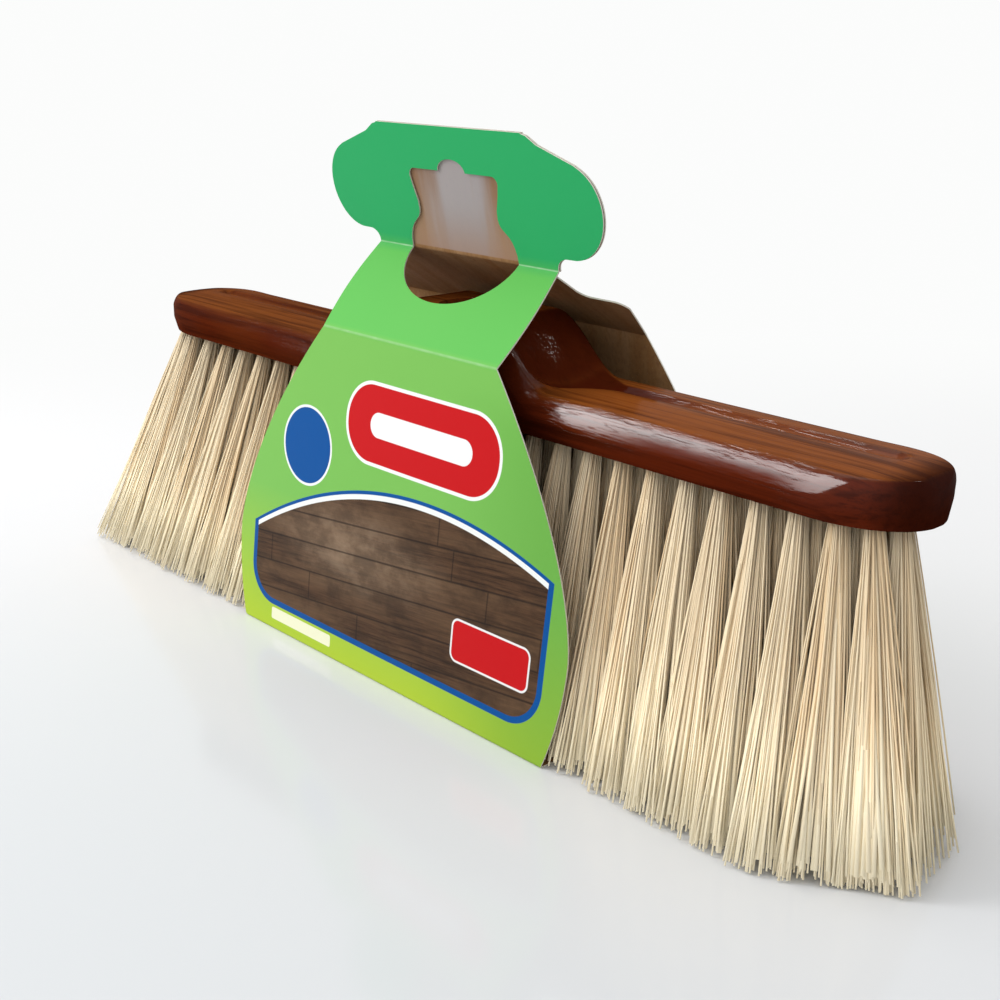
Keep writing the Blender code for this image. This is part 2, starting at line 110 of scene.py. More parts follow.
class BristleSettings(bpy.types.PropertyGroup):
    """Counts, sizes and colours of the bristles."""

    filaments: bpy.props.IntProperty(
        name="Filaments per Tuft", description="How many filaments stand in one tuft hole", default=190, min=3)
    radius: bpy.props.FloatProperty(
        name="Filament Radius", description="Half the thickness of a filament", default=0.00025, precision=5,
        **DISTANCE)
    pitch: bpy.props.FloatProperty(
        name="Column Pitch", description="Distance between tufts along the head", default=0.01232, **DISTANCE)
    row_pitch: bpy.props.FloatProperty(
        name="Row Pitch", description="Distance between rows across the head", default=0.00867, **DISTANCE)
    hole_radius: bpy.props.FloatProperty(
        name="Tuft Hole Radius", description="Radius of a drilled tuft hole", default=0.0026, **DISTANCE)
    tip_length: bpy.props.FloatProperty(
        name="Tip Length", description="Length of the trimmed end of the bristles", default=0.380, **DISTANCE)
    tip_width: bpy.props.FloatProperty(
        name="Tip Width", description="Width of the trimmed end of the bristles", default=0.086, **DISTANCE)
    raggedness: bpy.props.FloatProperty(
        name="Raggedness", description="How unevenly the tips are trimmed", default=0.0042, **DISTANCE)
    far_end_lean: bpy.props.FloatProperty(
        name="Far End Lean", description="How much further the tips at the -X end lean out", default=0.0068,
        **DISTANCE)
    free_spread: bpy.props.FloatProperty(
        name="Free Spread", description="Spread of the tips outside the sleeve, as a share of that inside it",
        default=1.035)
    rear_pull: bpy.props.FloatProperty(
        name="Rear Pull", description="How much less the rear rows flare at the two ends", default=0.015, **DISTANCE)
    light: bpy.props.FloatVectorProperty(
        name="Light Filament", description="Colour of the lightest filaments", default=(0.98, 0.85, 0.61), **COLOR)
    deep: bpy.props.FloatVectorProperty(
        name="Deep Filament", description="Colour of the deepest filaments", default=(0.88, 0.65, 0.38), **COLOR)
    seed: bpy.props.IntProperty(name="Seed", description="Seed of the bristles' unevenness", default=7)


class CardSettings(bpy.types.PropertyGroup):
    """Sizes and inks of the folded card."""

    thickness: bpy.props.FloatProperty(
        name="Card Thickness", description="Thickness of the board", default=BASE_HIGH.z - BASE_LOW.z, precision=5,
        **DISTANCE)
    crease_radius: bpy.props.FloatProperty(
        name="Crease Radius", description="Rounding of the folds", default=0.0007, precision=5, **DISTANCE)
    tab_green: bpy.props.FloatVectorProperty(
        name="Tab Green", description="Ink on the hang tab", default=(0.022, 0.385, 0.120), **COLOR)
    shoulder_green: bpy.props.FloatVectorProperty(
        name="Shoulder Green", description="Ink on the shoulders", default=(0.105, 0.475, 0.085), **COLOR)
    panel_green: bpy.props.FloatVectorProperty(
        name="Panel Green", description="Ink on the upper part of the panels", default=(0.180, 0.490, 0.090),
        **COLOR)
    foot_green: bpy.props.FloatVectorProperty(
        name="Foot Green", description="Ink at the foot of the panels", default=(0.43, 0.58, 0.03), **COLOR)
    blue: bpy.props.FloatVectorProperty(
        name="Blue", description="Blue ink", default=(0.001, 0.080, 0.31), **COLOR)
    red: bpy.props.FloatVectorProperty(
        name="Red", description="Red ink", default=(0.56, 0.006, 0.009), **COLOR)
    kraft: bpy.props.FloatVectorProperty(
        name="Kraft", description="Bare board inside", default=(0.27, 0.135, 0.048), **COLOR)


class StudioSettings(bpy.types.PropertyGroup):
    """Lamps, floor and camera."""

    key_power: bpy.props.FloatProperty(
        name="Key Power", description="Power of the softbox at the front left", default=6.0, unit="POWER")
    top_power: bpy.props.FloatProperty(
        name="Top Power", description="Power of the softbox overhead", default=2.8, unit="POWER")
    low_power: bpy.props.FloatProperty(
        name="Low Power", description="Power of the low softbox that lights the bristles alone", default=1.1,
        unit="POWER")
    shine_power: bpy.props.FloatProperty(
        name="Shine Power", description="Power of the front softbox that shows in the varnish alone", default=17.0,
        unit="POWER")
    spark_power: bpy.props.FloatProperty(
        name="Spark Power", description="Power of the back right softbox that shows in the varnish alone",
        default=45.0, unit="POWER")
    sky_light: bpy.props.FloatProperty(
        name="Sky Light", description="Strength of the even light from the front left", default=1.0)
    sky_shade: bpy.props.FloatProperty(
        name="Sky Shade", description="Strength of the even light from the back right", default=0.6)
    focal_length: bpy.props.FloatProperty(
        name="Focal Length", description="Camera lens on a 36 mm sensor, in millimetres", default=48.79)
    camera_place: bpy.props.FloatVectorProperty(
        name="Camera Place", description="Where the camera stands", default=(0.33234, -0.30902, 0.20726),
        subtype="TRANSLATION", unit="LENGTH", size=3)
    camera_turn: bpy.props.FloatVectorProperty(
        name="Camera Turn", description="Turn about Z, tilt down and roll", default=(0.802, 0.352, 0.021),
        subtype="EULER", unit="ROTATION", size=3)


GROUPS = {
    "broom_block": BlockSettings,
    "broom_bristles": BristleSettings,
    "broom_card": CardSettings,
    "broom_studio": StudioSettings,
}


# Meshes


def ease(value, start, end):
    """0 up to start, 1 from end on, and half a cosine wave between them."""
    share = min(max((value - start) / (end - start), 0), 1)
    return (1 - math.cos(math.pi * share)) / 2


def within(value, low, high):
    """The value, or the limit that it passes."""
    return min(max(value, low), high)


def grid_mesh(name, points, closed_ring=False):
    """Mesh over a grid of points, given as an array of rows by columns by 3."""
    rows, columns = points.shape[:2]
    across = columns if closed_ring else columns - 1
    start = np.arange(rows - 1)[:, None] * columns
    first = start + np.arange(across)[None, :]
    second = start + (np.arange(across)[None, :] + 1) % columns
    faces = np.stack([first, second, second + columns, first + columns], axis=-1).reshape(-1, 4)
    mesh = bpy.data.meshes.new(name)
    mesh.from_pydata(points.reshape(-1, 3).tolist(), [], faces.tolist())
    return mesh


def add_object(name, data, materials=()):
    item = bpy.data.objects.new(name, data)
    bpy.context.scene.collection.objects.link(item)
    for material in materials:
        data.materials.append(material)
    return item


def baked(item):
    """Swap the object's live modifiers for the plain mesh that they make."""
    bpy.context.view_layer.update()
    depsgraph = bpy.context.evaluated_depsgraph_get()
    mesh = bpy.data.meshes.new_from_object(item.evaluated_get(depsgraph))
    item.modifiers.clear()
    item.data = mesh


def smooth(mesh, angle):
    """Shade smooth up to an angle in degrees."""
    mesh.shade_smooth()
    mesh.set_sharp_from_angle(angle=math.radians(angle))


def close_ends(mesh, angle):
    """Cap the open rims, point the faces outwards and shade smooth up to an angle in degrees."""
    shape = bmesh.new()
    shape.from_mesh(mesh)
    bmesh.ops.edgeloop_fill(shape, edges=[edge for edge in shape.edges if edge.is_boundary])
    bmesh.ops.recalc_face_normals(shape, faces=shape.faces)
    shape.to_mesh(mesh)
    shape.free()
    smooth(mesh, angle)


# Nodes


class Value:
    """What a node puts out. + - * / and abs add a Math node to its tree, or a Vector Math node for a vector."""

    def __init__(self, socket):
        self.socket = socket

    def is_vector(self):
        return self.socket.type == "VECTOR"

    def __add__(self, other):
        return vector_calc("ADD", self, other) if self.is_vector() else calc("ADD", self, other)

    def __sub__(self, other):
        return vector_calc("SUBTRACT", self, other) if self.is_vector() else calc("SUBTRACT", self, other)

    def __rsub__(self, other):
        return calc("SUBTRACT", other, self)

    def __mul__(self, other):
        if self.is_vector():
            return add_value("ShaderNodeVectorMath", {0: self, "Scale": other}, operation="SCALE")
        return calc("MULTIPLY", self, other)

    def __truediv__(self, other):
        return calc("DIVIDE", self, other)

    def __abs__(self):
        return calc("ABSOLUTE", self)


def plug(socket, value):
    """Link a value, or set a constant."""
    if isinstance(value, Value):
        socket.id_data.links.new(value.socket, socket)
    elif hasattr(value, "__len__") and socket.type == "RGBA" and len(value) == 3:
        socket.default_value = (*value, 1.0)
    else:
        socket.default_value = value


def add_node(tree, kind, inputs=None, **settings):
    """Add a node with its settings, and its inputs by name or number."""
    item = tree.nodes.new(kind)
    for key, value in settings.items():
        setattr(item, key, value)
    for key, value in (inputs or {}).items():
        plug(item.inputs[key] if isinstance(key, int) else next(
            socket for socket in item.inputs if socket.name == key and socket.enabled), value)
    return item


def source(tree, kind, output=0, inputs=None, **settings):
    """One output of a new node that takes no values."""
    return Value(add_node(tree, kind, inputs, **settings).outputs[output])


def add_value(kind, inputs, output=0, **settings):
    """One output of a new node, in the tree that the node's inputs are in."""
    tree = next(value.socket.id_data for value in inputs.values() if isinstance(value, Value))
    return source(tree, kind, output, inputs, **settings)


def calc(operation, *values, clamp=False):
    return add_value("ShaderNodeMath", dict(enumerate(values)), operation=operation, use_clamp=clamp)


def vector_calc(operation, *values, output=0):
    return add_value("ShaderNodeVectorMath", dict(enumerate(values)), output, operation=operation)


def linear(value, slope, start):
    """value * slope + start, in one node."""
    return calc("MULTIPLY_ADD", value, slope, start)


def remap(value, low, high, start=0.0, end=1.0, blend="SMOOTHSTEP"):
    """Map low..high onto start..end, smoothly unless told otherwise."""
    inputs = {"Value": value, "From Min": low, "From Max": high, "To Min": start, "To Max": end}
    return add_value("ShaderNodeMapRange", inputs, interpolation_type=blend)


def split(vector):
    """The X, Y and Z of a vector."""
    return [Value(socket) for socket in add_node(vector.socket.id_data, "ShaderNodeSeparateXYZ", {0: vector}).outputs]


def combine(x, y, z=0.0):
    return add_value("ShaderNodeCombineXYZ", {0: x, 1: y, 2: z})


def blend_color(share, low, high):
    """The low colour where the share is 0, and the high one where it is 1."""
    return add_value("ShaderNodeMix", {0: share, 6: low, 7: high}, 2, data_type="RGBA")


def stretched(place, scale):
    return add_value("ShaderNodeMapping", {"Vector": place, "Scale": scale})


def noise(place, scale, detail=3.0, roughness=0.5):
    """Noise with its own scale along each axis."""
    inputs = {"Vector": stretched(place, scale), "Scale": 1.0, "Detail": detail, "Roughness": roughness}
    return add_value("ShaderNodeTexNoise", inputs, "Fac")


def bump(height, distance, strength):
    return add_value("ShaderNodeBump", {"Height": height, "Distance": distance, "Strength": strength})


def new_material(name):
    """A new material and its node tree."""
    material = bpy.data.materials.new(name)
    material.use_nodes = True
    return material, material.node_tree


def finish_material(tree, **inputs):
    """Set the Principled shader's inputs, named with _ for a space."""
    shader = tree.nodes["Principled BSDF"]
    for name, value in inputs.items():
        plug(shader.inputs[name.replace("_", " ")], value)
    return shader


# Wooden block


# Reach is the distance along the head from its middle. The boss falls away between BOSS_END and BOSS_FOOT. The scoop
# at its foot narrows to the wing's groove between SCOOP_START and SCOOP_END, and its far edge over a shorter run.
# From there the groove lies between GROOVE_NEAR and GROOVE_FAR, and closes GROOVE_STOP short of the block's end.
NOSE = 0.026
BOSS_END, BOSS_FOOT = 0.021, 0.051
SCOOP_START, SCOOP_END = 0.038, 0.066
FAR_SCOOP_START, FAR_SCOOP_END = 0.046, 0.062
GROOVE_NEAR, GROOVE_FAR = 0.0005, 0.0088
GROOVE_DEPTH, SCOOP_DEPTH = 0.0024, 0.0014
GROOVE_STOP = 0.014
LAND_RIM = 0.001
SIDE_TAPER, TAPER_HEIGHT = 0.0015, 0.0062
ROUNDNESS = 1.4
SOCKET_DEPTH = 0.024
# How far the end columns' tufts are set in towards the middle, from the front row to the third, and how far the
# front one is set back
END_TUFT_IN = (0.0036, 0.0, 0.0048)
CORNER_TUFT_BACK = 0.0022


def nose_half_width(reach, half_length, half_width):
    """Straight sides, with a half-elliptical nose at each end."""
    tip = 0.003
    into = within((reach - (half_length - NOSE)) / NOSE, 0, 1)
    return tip + (half_width - tip) * math.sqrt(1 - into ** 2)


def ring_side(width, slant, bottom, top, tall):
    """Half a ring's side as (y, height), up its taper and over its slanted edge."""
    taper = min(SIDE_TAPER, width / 4)
    soft = min(0.0006, width / 8)
    side = [(width - taper - soft, bottom), (width - taper - soft * 0.3, bottom + soft * 0.3),
            (width - taper, bottom + soft), (width - taper * 0.16, bottom + 0.0048),
            (width - taper * 0.04, bottom + 0.0054), (width, bottom + TAPER_HEIGHT)]
    for angle in np.linspace(0, np.pi / 2, 17)[1:]:
        inward = 1 - max(math.cos(angle), 0.0) ** (2 / ROUNDNESS)
        side.append((width - slant * inward, top - tall + tall * math.sin(angle) ** (2 / ROUNDNESS)))
    return side


def block_ring(x, settings):
    """Points round the block at one x: side, slanted edge, land, groove, and back down the other side."""
    half_length, half_width = settings.length / 2, settings.width / 2
    reach = abs(x)
    width = nose_half_width(reach, half_length, half_width)
    crisp = 1 - 0.5 * ease(reach, half_length - 0.030, half_length - 0.006)
    edge_depth, edge_height = settings.edge_depth * crisp, settings.edge_height * crisp
    out = within((reach - (half_length - edge_depth)) / edge_depth, 0, 1)
    top = settings.boss_top - settings.boss_rise + settings.boss_rise * (1 - ease(reach, BOSS_END, BOSS_FOOT))
    top -= edge_height * (1 - (1 - out ** ROUNDNESS) ** (1 / ROUNDNESS))
    slant = min(edge_depth, width * 0.8)
    land = width - slant
    full_land = half_width - settings.edge_depth
    open_land = full_land - LAND_RIM
    scoop = ease(reach, SCOOP_START, SCOOP_END)
    near = -open_land + (open_land + GROOVE_NEAR) * scoop
    far = open_land - (open_land - GROOVE_FAR) * ease(reach, FAR_SCOOP_START, FAR_SCOOP_END)
    started = ease(reach, BOSS_END, SCOOP_START)
    depth = GROOVE_DEPTH * started + SCOOP_DEPTH * started * (1 - scoop)
    groove = (far - near) / 2
    closing = math.sqrt(1 - within((reach - (half_length - GROOVE_STOP - groove)) / groove, 0, 1) ** 2)
    opening = max(groove * closing, land / 5)
    limit = land - LAND_RIM * land / open_land - opening
    middle = within((near + far) / 2, -limit, limit)
    crown = 0.001 * ease(reach, BOSS_END, BOSS_FOOT) * (land / full_land) ** 2

    def surface(y):
        return top + crown * (1 - (y / land) ** 2)

    tall = min(edge_height, top - settings.underside - TAPER_HEIGHT)
    side = ring_side(width, slant, settings.underside, top, tall)
    quarters = np.array((0.25, 0.5, 0.75))
    rear, front = middle + opening, middle - opening
    ring = side + [(y, surface(y)) for y in land + (rear - land) * quarters]
    lip = 0.12
    for share in np.linspace(1, -1, 21):
        dip = (1 - share ** 2) ** 2
        dip = dip / (1 - share ** 2 + lip) * (1 + lip)
        y = middle + opening * share
        ring.append((y, surface(y) - depth * closing * dip))
    ring += [(y, surface(y)) for y in front + (-land - front) * quarters]
    ring += [(-y, z) for y, z in reversed(side)]
    return [(x, y, z) for y, z in ring]


def block_rings(settings):
    """Rings round the block, finest over the boss's flanks and round the noses."""
    nose = settings.length / 2 - NOSE
    groove_start = SCOOP_END + 0.006
    half = np.concatenate([
        np.linspace(0.002, BOSS_END, 5)[:-1],
        np.linspace(BOSS_END, groove_start, 50)[:-1],
        np.linspace(groove_start, nose, 26)[:-1],
        nose + NOSE * np.sin(np.linspace(0, np.pi / 2, 34)),
    ])
    return np.array([block_ring(x, settings) for x in np.concatenate([-half[::-1], half])])


def socket_plug(settings):
    """Threaded plug that the handle socket is cut with."""
    top, floor = settings.boss_top, settings.boss_top - SOCKET_DEPTH
    turns = np.linspace(0, 2 * np.pi, 49)[:-1]
    heights = np.concatenate([np.linspace(floor, top - 0.0015, 76), np.linspace(top - 0.001, top + 0.002, 7)])
    z, angle = np.meshgrid(heights, turns, indexing="ij")
    wave = 0.5 + 0.5 * np.cos(2 * np.pi * (z / settings.thread_pitch - angle / (2 * np.pi)))
    fade = np.clip((top - 0.003 - z) / 0.002, 0, 1) * np.clip((z - floor - 0.001) / 0.003, 0, 1)
    thread_depth, mouth = 0.0011, np.clip(z - (top - 0.0015), 0, 1)
    spread = settings.socket_diameter / 2 + thread_depth * wave ** 2 * fade + mouth
    points = np.stack([spread * np.cos(angle), spread * np.sin(angle), z], axis=-1)
    mesh = grid_mesh("socket_plug", points, closed_ring=True)
    close_ends(mesh, 40)
    return mesh


def tuft_grid(bristles):
    """Root place (x, y) of each tuft: four rows, drawn in round the two ends."""
    count = len(TUFT_COLUMNS)
    places = []
    for column in range(count):
        for row in range(4):
            x = (column - (count - 1) / 2) * bristles.pitch
            y = (row - 1.5) * bristles.row_pitch
            if column in (0, count - 1):
                if row == 3:
                    continue
                x -= math.copysign(END_TUFT_IN[row], x)
                y += CORNER_TUFT_BACK if row == 0 else 0
            places.append((x, y))
    return places


def hole_drills(block, bristles):
    """Short drills for every tuft hole, in one mesh."""
    shape = bmesh.new()
    depth, radius = 0.006, bristles.hole_radius * 1.08
    for x, y in tuft_grid(bristles):
        place = Matrix.Translation((x, y, block.underside + depth / 2 - 0.001))
        bmesh.ops.create_cone(shape, cap_ends=True, segments=14, radius1=radius, radius2=radius, depth=depth,
                              matrix=place)
    mesh = bpy.data.meshes.new("tuft_drills")
    shape.to_mesh(mesh)
    shape.free()
    return mesh


def varnished_wood(settings):
    """Dark stained wood under a clear gloss varnish, with painted light on the upward faces and painted shade on the
    flanks, scoop, ends and -X half.
    """
    material, tree = new_material("varnished_wood")
    place = source(tree, "ShaderNodeTexCoord", "Object")
    x, y, z = split(place)
    up = split(source(tree, "ShaderNodeNewGeometry", "Normal"))[2]
    reach = abs(x)
    wander = noise(place, (9, 60, 60), 2.0)
    warped = place + combine(0.0, wander * 0.003, wander * 0.004)
    grain = noise(warped, (14, 420, 420), 4.0, 0.6)
    hair = noise(warped, (40, 1600, 1600), 3.0, 0.6)
    pores = noise(place, (90, 2600, 2600), 2.0, 0.7)
    cloud = noise(place, (12, 30, 30), 3.0, 0.55)

    # The groove's edges as in block_ring, and the parts that the stain's grain, the painted light and shade and the
    # varnish
    # follow: the scoop's valley, the boss's flanks and the faces of the ends
    open_land = settings.width / 2 - settings.edge_depth - LAND_RIM
    near = linear(remap(reach, SCOOP_START, SCOOP_END), open_land + GROOVE_NEAR, -open_land)
    far = linear(remap(reach, FAR_SCOOP_START, FAR_SCOOP_END), GROOVE_FAR - open_land, open_land)
    valley = remap(y - near, -0.0008, 0.0006) * remap(far - y, -0.0008, 0.0006) * remap(reach, 0.100, 0.060)
    flank = remap(reach, 0.019, 0.023) * remap(reach, 0.052, 0.040)
    flank = calc("MAXIMUM", flank, valley * remap(reach, 0.038, 0.046))
    end_face = remap(reach, 0.162, 0.1735)

    # Stain, thinner in random clouds; painted light on the upward faces; dark along the grain; painted shade on the
    # flanks, scoop, ends and -X half
    # Painted light: the upward faces are made paler, less so on the flanks
    painted_top_light = remap(up, 0.55, 0.98) * linear(flank, -0.95, 1.0)
    thin = calc("ADD", painted_top_light * 0.85, (cloud - 0.5) * 0.7, clamp=True)
    body = blend_color(thin, settings.stain, settings.pale_stain_and_painted_light)
    plain = linear(flank, -0.7, 1.0)
    # Grain and fine hair lines darken the stain; the flanks, the scoop, the end faces and the -X half are darkened as
    # painted shade
    for share in (remap(grain, 0.42, 0.68) * 0.6 * plain, remap(hair, 0.52, 0.8) * 0.5 * plain, flank * 0.35,
                  end_face * 0.85, remap(x, -0.06, 0.0, 0.3, 0.0)):
        body = blend_color(share, body, settings.dark)

    # Gloss, weaker low on the side, along the middle of each wing, on the far wing, at the ends and on flat faces, and
    # stronger along the groove's near edge
    gloss = remap(z, 0.0960, 0.1000, 0.04, 0.13) * remap(z, 0.0985, 0.1066, 0.8, 2.2)
    dip = remap(reach, 0.070, 0.100) * remap(reach, 0.150, 0.135) * remap(z, 0.1020, 0.1050, 0.9, 0.15)
    gloss = gloss * (1.0 - dip) * remap(x, -0.07, 0.02, 0.25, 1.0) * linear(end_face, -0.8, 1.0)
    gloss = gloss * remap(up, 0.80, 0.99, 1.0, 0.4)
    lip = remap(abs(y - (near + 0.0006)), 0.0009, 0.0002) * remap(cloud, 0.35, 0.60, 0.25, 1.0)
    lip = lip * (remap(reach, 0.030, 0.040) * remap(reach, 0.152, 0.142))
    gloss = linear(lip, 0.55, gloss)

    # Relief of the wood, and of the varnish where it was drawn by the brush
    relief = pores * 0.3 + grain * 0.7
    ripple = noise(warped, (45, 330, 330), 4.0, 0.6)
    drawn = remap(noise(warped, (60, 800, 800), 3.0, 0.55), 0.48, 0.60)
    varnish = ripple + pores * 0.15 + drawn * 0.35
    even = remap(reach, 0.152, 0.144) * linear(flank, -0.93, 1.0)
    varnish = varnish * linear(even, 0.85, 0.15)
    finish_material(tree, Base_Color=body, Roughness=0.5, Specular_IOR_Level=0.0, Coat_Weight=gloss,
                    Coat_Roughness=0.08, Coat_IOR=1.5, Normal=bump(relief, 0.00012, 0.5),
                    Coat_Normal=bump(varnish, 0.00036, 0.7))
    return material


class BROOM_OT_block(bpy.types.Operator):
    """Make the wooden block with its threaded socket and drilled tuft holes"""

    bl_idname = "broom.block"
    bl_label = "Wooden Block"

    def execute(self, context):
        settings = context.scene.broom_block
        sharp = 38
        mesh = grid_mesh("block", block_rings(settings), closed_ring=True)
        close_ends(mesh, sharp)
        block = add_object("block", mesh, [varnished_wood(settings)])
        cutters = [add_object("socket_plug", socket_plug(settings)),
                   add_object("tuft_drills", hole_drills(settings, context.scene.broom_bristles))]
        for cutter in cutters:
            modifier = block.modifiers.new(cutter.name, "BOOLEAN")
            modifier.operation = "DIFFERENCE"
            modifier.object = cutter
        baked(block)
        for cutter in cutters:
            bpy.data.objects.remove(cutter)
        smooth(block.data, sharp)
        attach(block, "broom_head")
        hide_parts("wooden_block")
        return {"FINISHED"}


# Bristles


# Each tuft falls into locks that swing as one: seven sectors of its inner part and seven of its outer one. These are
# the most that a lock swings, and a filament within it, along and across the head. STRAYS of them swing STRAY_SWING
# times as far.
LOCK_SECTORS, INNER_SHARE = 7.0, 0.6
LOCK_SWING, FILAMENT_SWING = (0.0024, 0.0020), (0.0024, 0.0022)
STRAYS, STRAY_SWING = 0.015, 2.1
# How far a tuft's disc of filaments fans out, as a share of the tips' pitch, and what the end columns add across
FAN_ALONG, FAN_ACROSS, END_FAN = 0.66, 0.52, 0.12
# Reach at which the tips come out of the sleeve and at which they are free of it, and the half width that it leaves
SLEEVE_EDGE, FREE_REACH, HELD_HALF = 0.084, 0.112, 0.0436
# Inner filaments of a tuft: their share of its radius, how much shorter and how much thicker their tips are
CORE_SHARE, CORE_SHORT, CORE_THICK = 0.5, 0.004, 1.4


def bristle_material(settings):
    """Cream filament with a soft sheen, each one a little lighter or deeper than the next, with painted shade at the
    root and paler tips.
    """
    material, tree = new_material("cream_filament")
    tone = source(tree, "ShaderNodeAttribute", "Fac", attribute_name="tone")
    along = source(tree, "ShaderNodeAttribute", "Fac", attribute_name="along")
    shaded_root, pale_tip_and_painted_light = (0.45, 0.33, 0.20), (1.0, 0.90, 0.66)
    color = blend_color(tone, settings.deep, settings.light)
    # Painted shade: darker towards the root
    color = blend_color(remap(along, 0.0, 0.95, 0.42, 0.0), color, shaded_root)
    # Paler towards the tip, partly paler trimmed ends and partly painted light
    color = blend_color(remap(along, 0.45, 1.0, 0.0, 0.8), color, pale_tip_and_painted_light)
    finish_material(tree, Base_Color=color, Roughness=0.5, Specular_IOR_Level=0.16)
    return material


def filament_places(given, index):
    """Root, tip and sway of each filament, its tone, and whether it is in its tuft's core or left out."""
    tuft = calc("FLOOR", index / given["Filaments"])
    column = calc("FLOOR", tuft / 4.0) + given["First Column"]
    row = calc("FLOORED_MODULO", tuft, 4.0)

    def chance(low, high, shift, identity=index):
        """Random number of a filament, or of the lock that it belongs to."""
        values = {2: low, 3: high, 8: given["Seed"] + float(shift), 7: identity}
        return add_value("FunctionNodeRandomValue", values, 1, data_type="FLOAT")

    # Place in the tuft's round hole, and the tuft's place in its grid
    turn = chance(0.0, math.tau, 1)
    spread = calc("SQRT", chance(0.0, 1.0, 2))
    disc_x, disc_y = spread * calc("COSINE", turn), spread * calc("SINE", turn)
    from_middle = column - given["Last Column"] / 2.0
    from_centre = row - 1.5
    side = calc("SIGN", from_middle)
    at_end = calc("COMPARE", column, 0.0, 0.1) + calc("COMPARE", column, given["Last Column"], 0.1)
    corner = at_end * calc("LESS_THAN", from_centre, -1.0)
    rear = at_end * calc("GREATER_THAN", from_centre, 0.0)
    column_x = linear(from_middle, given["Pitch"], linear(corner, -END_TUFT_IN[0], rear * -END_TUFT_IN[2]) * side)
    row_y = linear(disc_y, given["Hole Radius"], corner * CORNER_TUFT_BACK)
    root = combine(linear(disc_x, given["Hole Radius"], column_x), linear(from_centre, given["Row Pitch"], row_y),
                   given["Root Height"])

    # Swing of the locks and the filaments, and fan of the tuft
    loose = linear(calc("GREATER_THAN", chance(0.0, 1.0, 3), 1 - STRAYS), STRAY_SWING - 1, 1.0)
    sector = calc("FLOOR", turn * (LOCK_SECTORS / math.tau))
    outer = calc("GREATER_THAN", spread, INNER_SHARE)
    lock = linear(column * 4.0 + row, 16.0, linear(outer, 8.0, sector))
    swing_x, swing_y = (
        chance(-shared, shared, shift, lock) + chance(-own, own, shift + 1) * loose
        for shared, own, shift in zip(LOCK_SWING, FILAMENT_SWING, (4, 6)))
    fan_x = disc_x * given["Tip Pitch"] * FAN_ALONG
    fan_y = disc_y * given["Tip Row Pitch"] * linear(at_end, END_FAN, FAN_ACROSS)
    tip_x = linear(from_middle, given["Tip Pitch"], fan_x + swing_x)
    tip_y = linear(from_centre, given["Tip Row Pitch"], fan_y + swing_y)

    # The rear rows flare less at both ends, the far end leans out, the near end is rounded off, and the sleeve holds
    # the tips in
    pull = remap(abs(tip_x), 0.09, 0.19) * remap(tip_y, 0.0, 0.036, 0.0, given["Rear Pull"])
    tip_x = tip_x - pull * side
    lean = calc("POWER", remap(tip_x, 0.04, -0.19), 1.5) * given["Far End Lean"]
    free = remap(abs(tip_x), SLEEVE_EDGE, FREE_REACH, 1.0, given["Free Spread"])
    limit = remap(tip_x, 0.150, 0.196, HELD_HALF, 0.022)
    limit = limit - chance(0.0, 0.004, 13) * remap(abs(tip_x), SLEEVE_EDGE, 0.10)
    held = calc("MINIMUM", calc("MAXIMUM", tip_y, limit * -1.0), limit)
    core = calc("LESS_THAN", spread, CORE_SHARE)
    uneven = calc("POWER", chance(0.0, 1.0, 8), 2.5)
    height = linear(core, CORE_SHORT, linear(uneven, given["Raggedness"], given["Tip Height"]))
    tip = combine(tip_x - lean, held * free, height)

    tone = calc("ADD", chance(-0.40, 0.40, 9, lock), chance(0.45, 0.95, 10), clamp=True)
    sway = combine(chance(-0.0011, 0.0011, 11), chance(-0.0009, 0.0009, 12))
    left_out = at_end * calc("GREATER_THAN", from_centre, 1.0)
    return {"root": root, "tip": tip, "sway": sway}, {"tone": tone, "core": core}, left_out


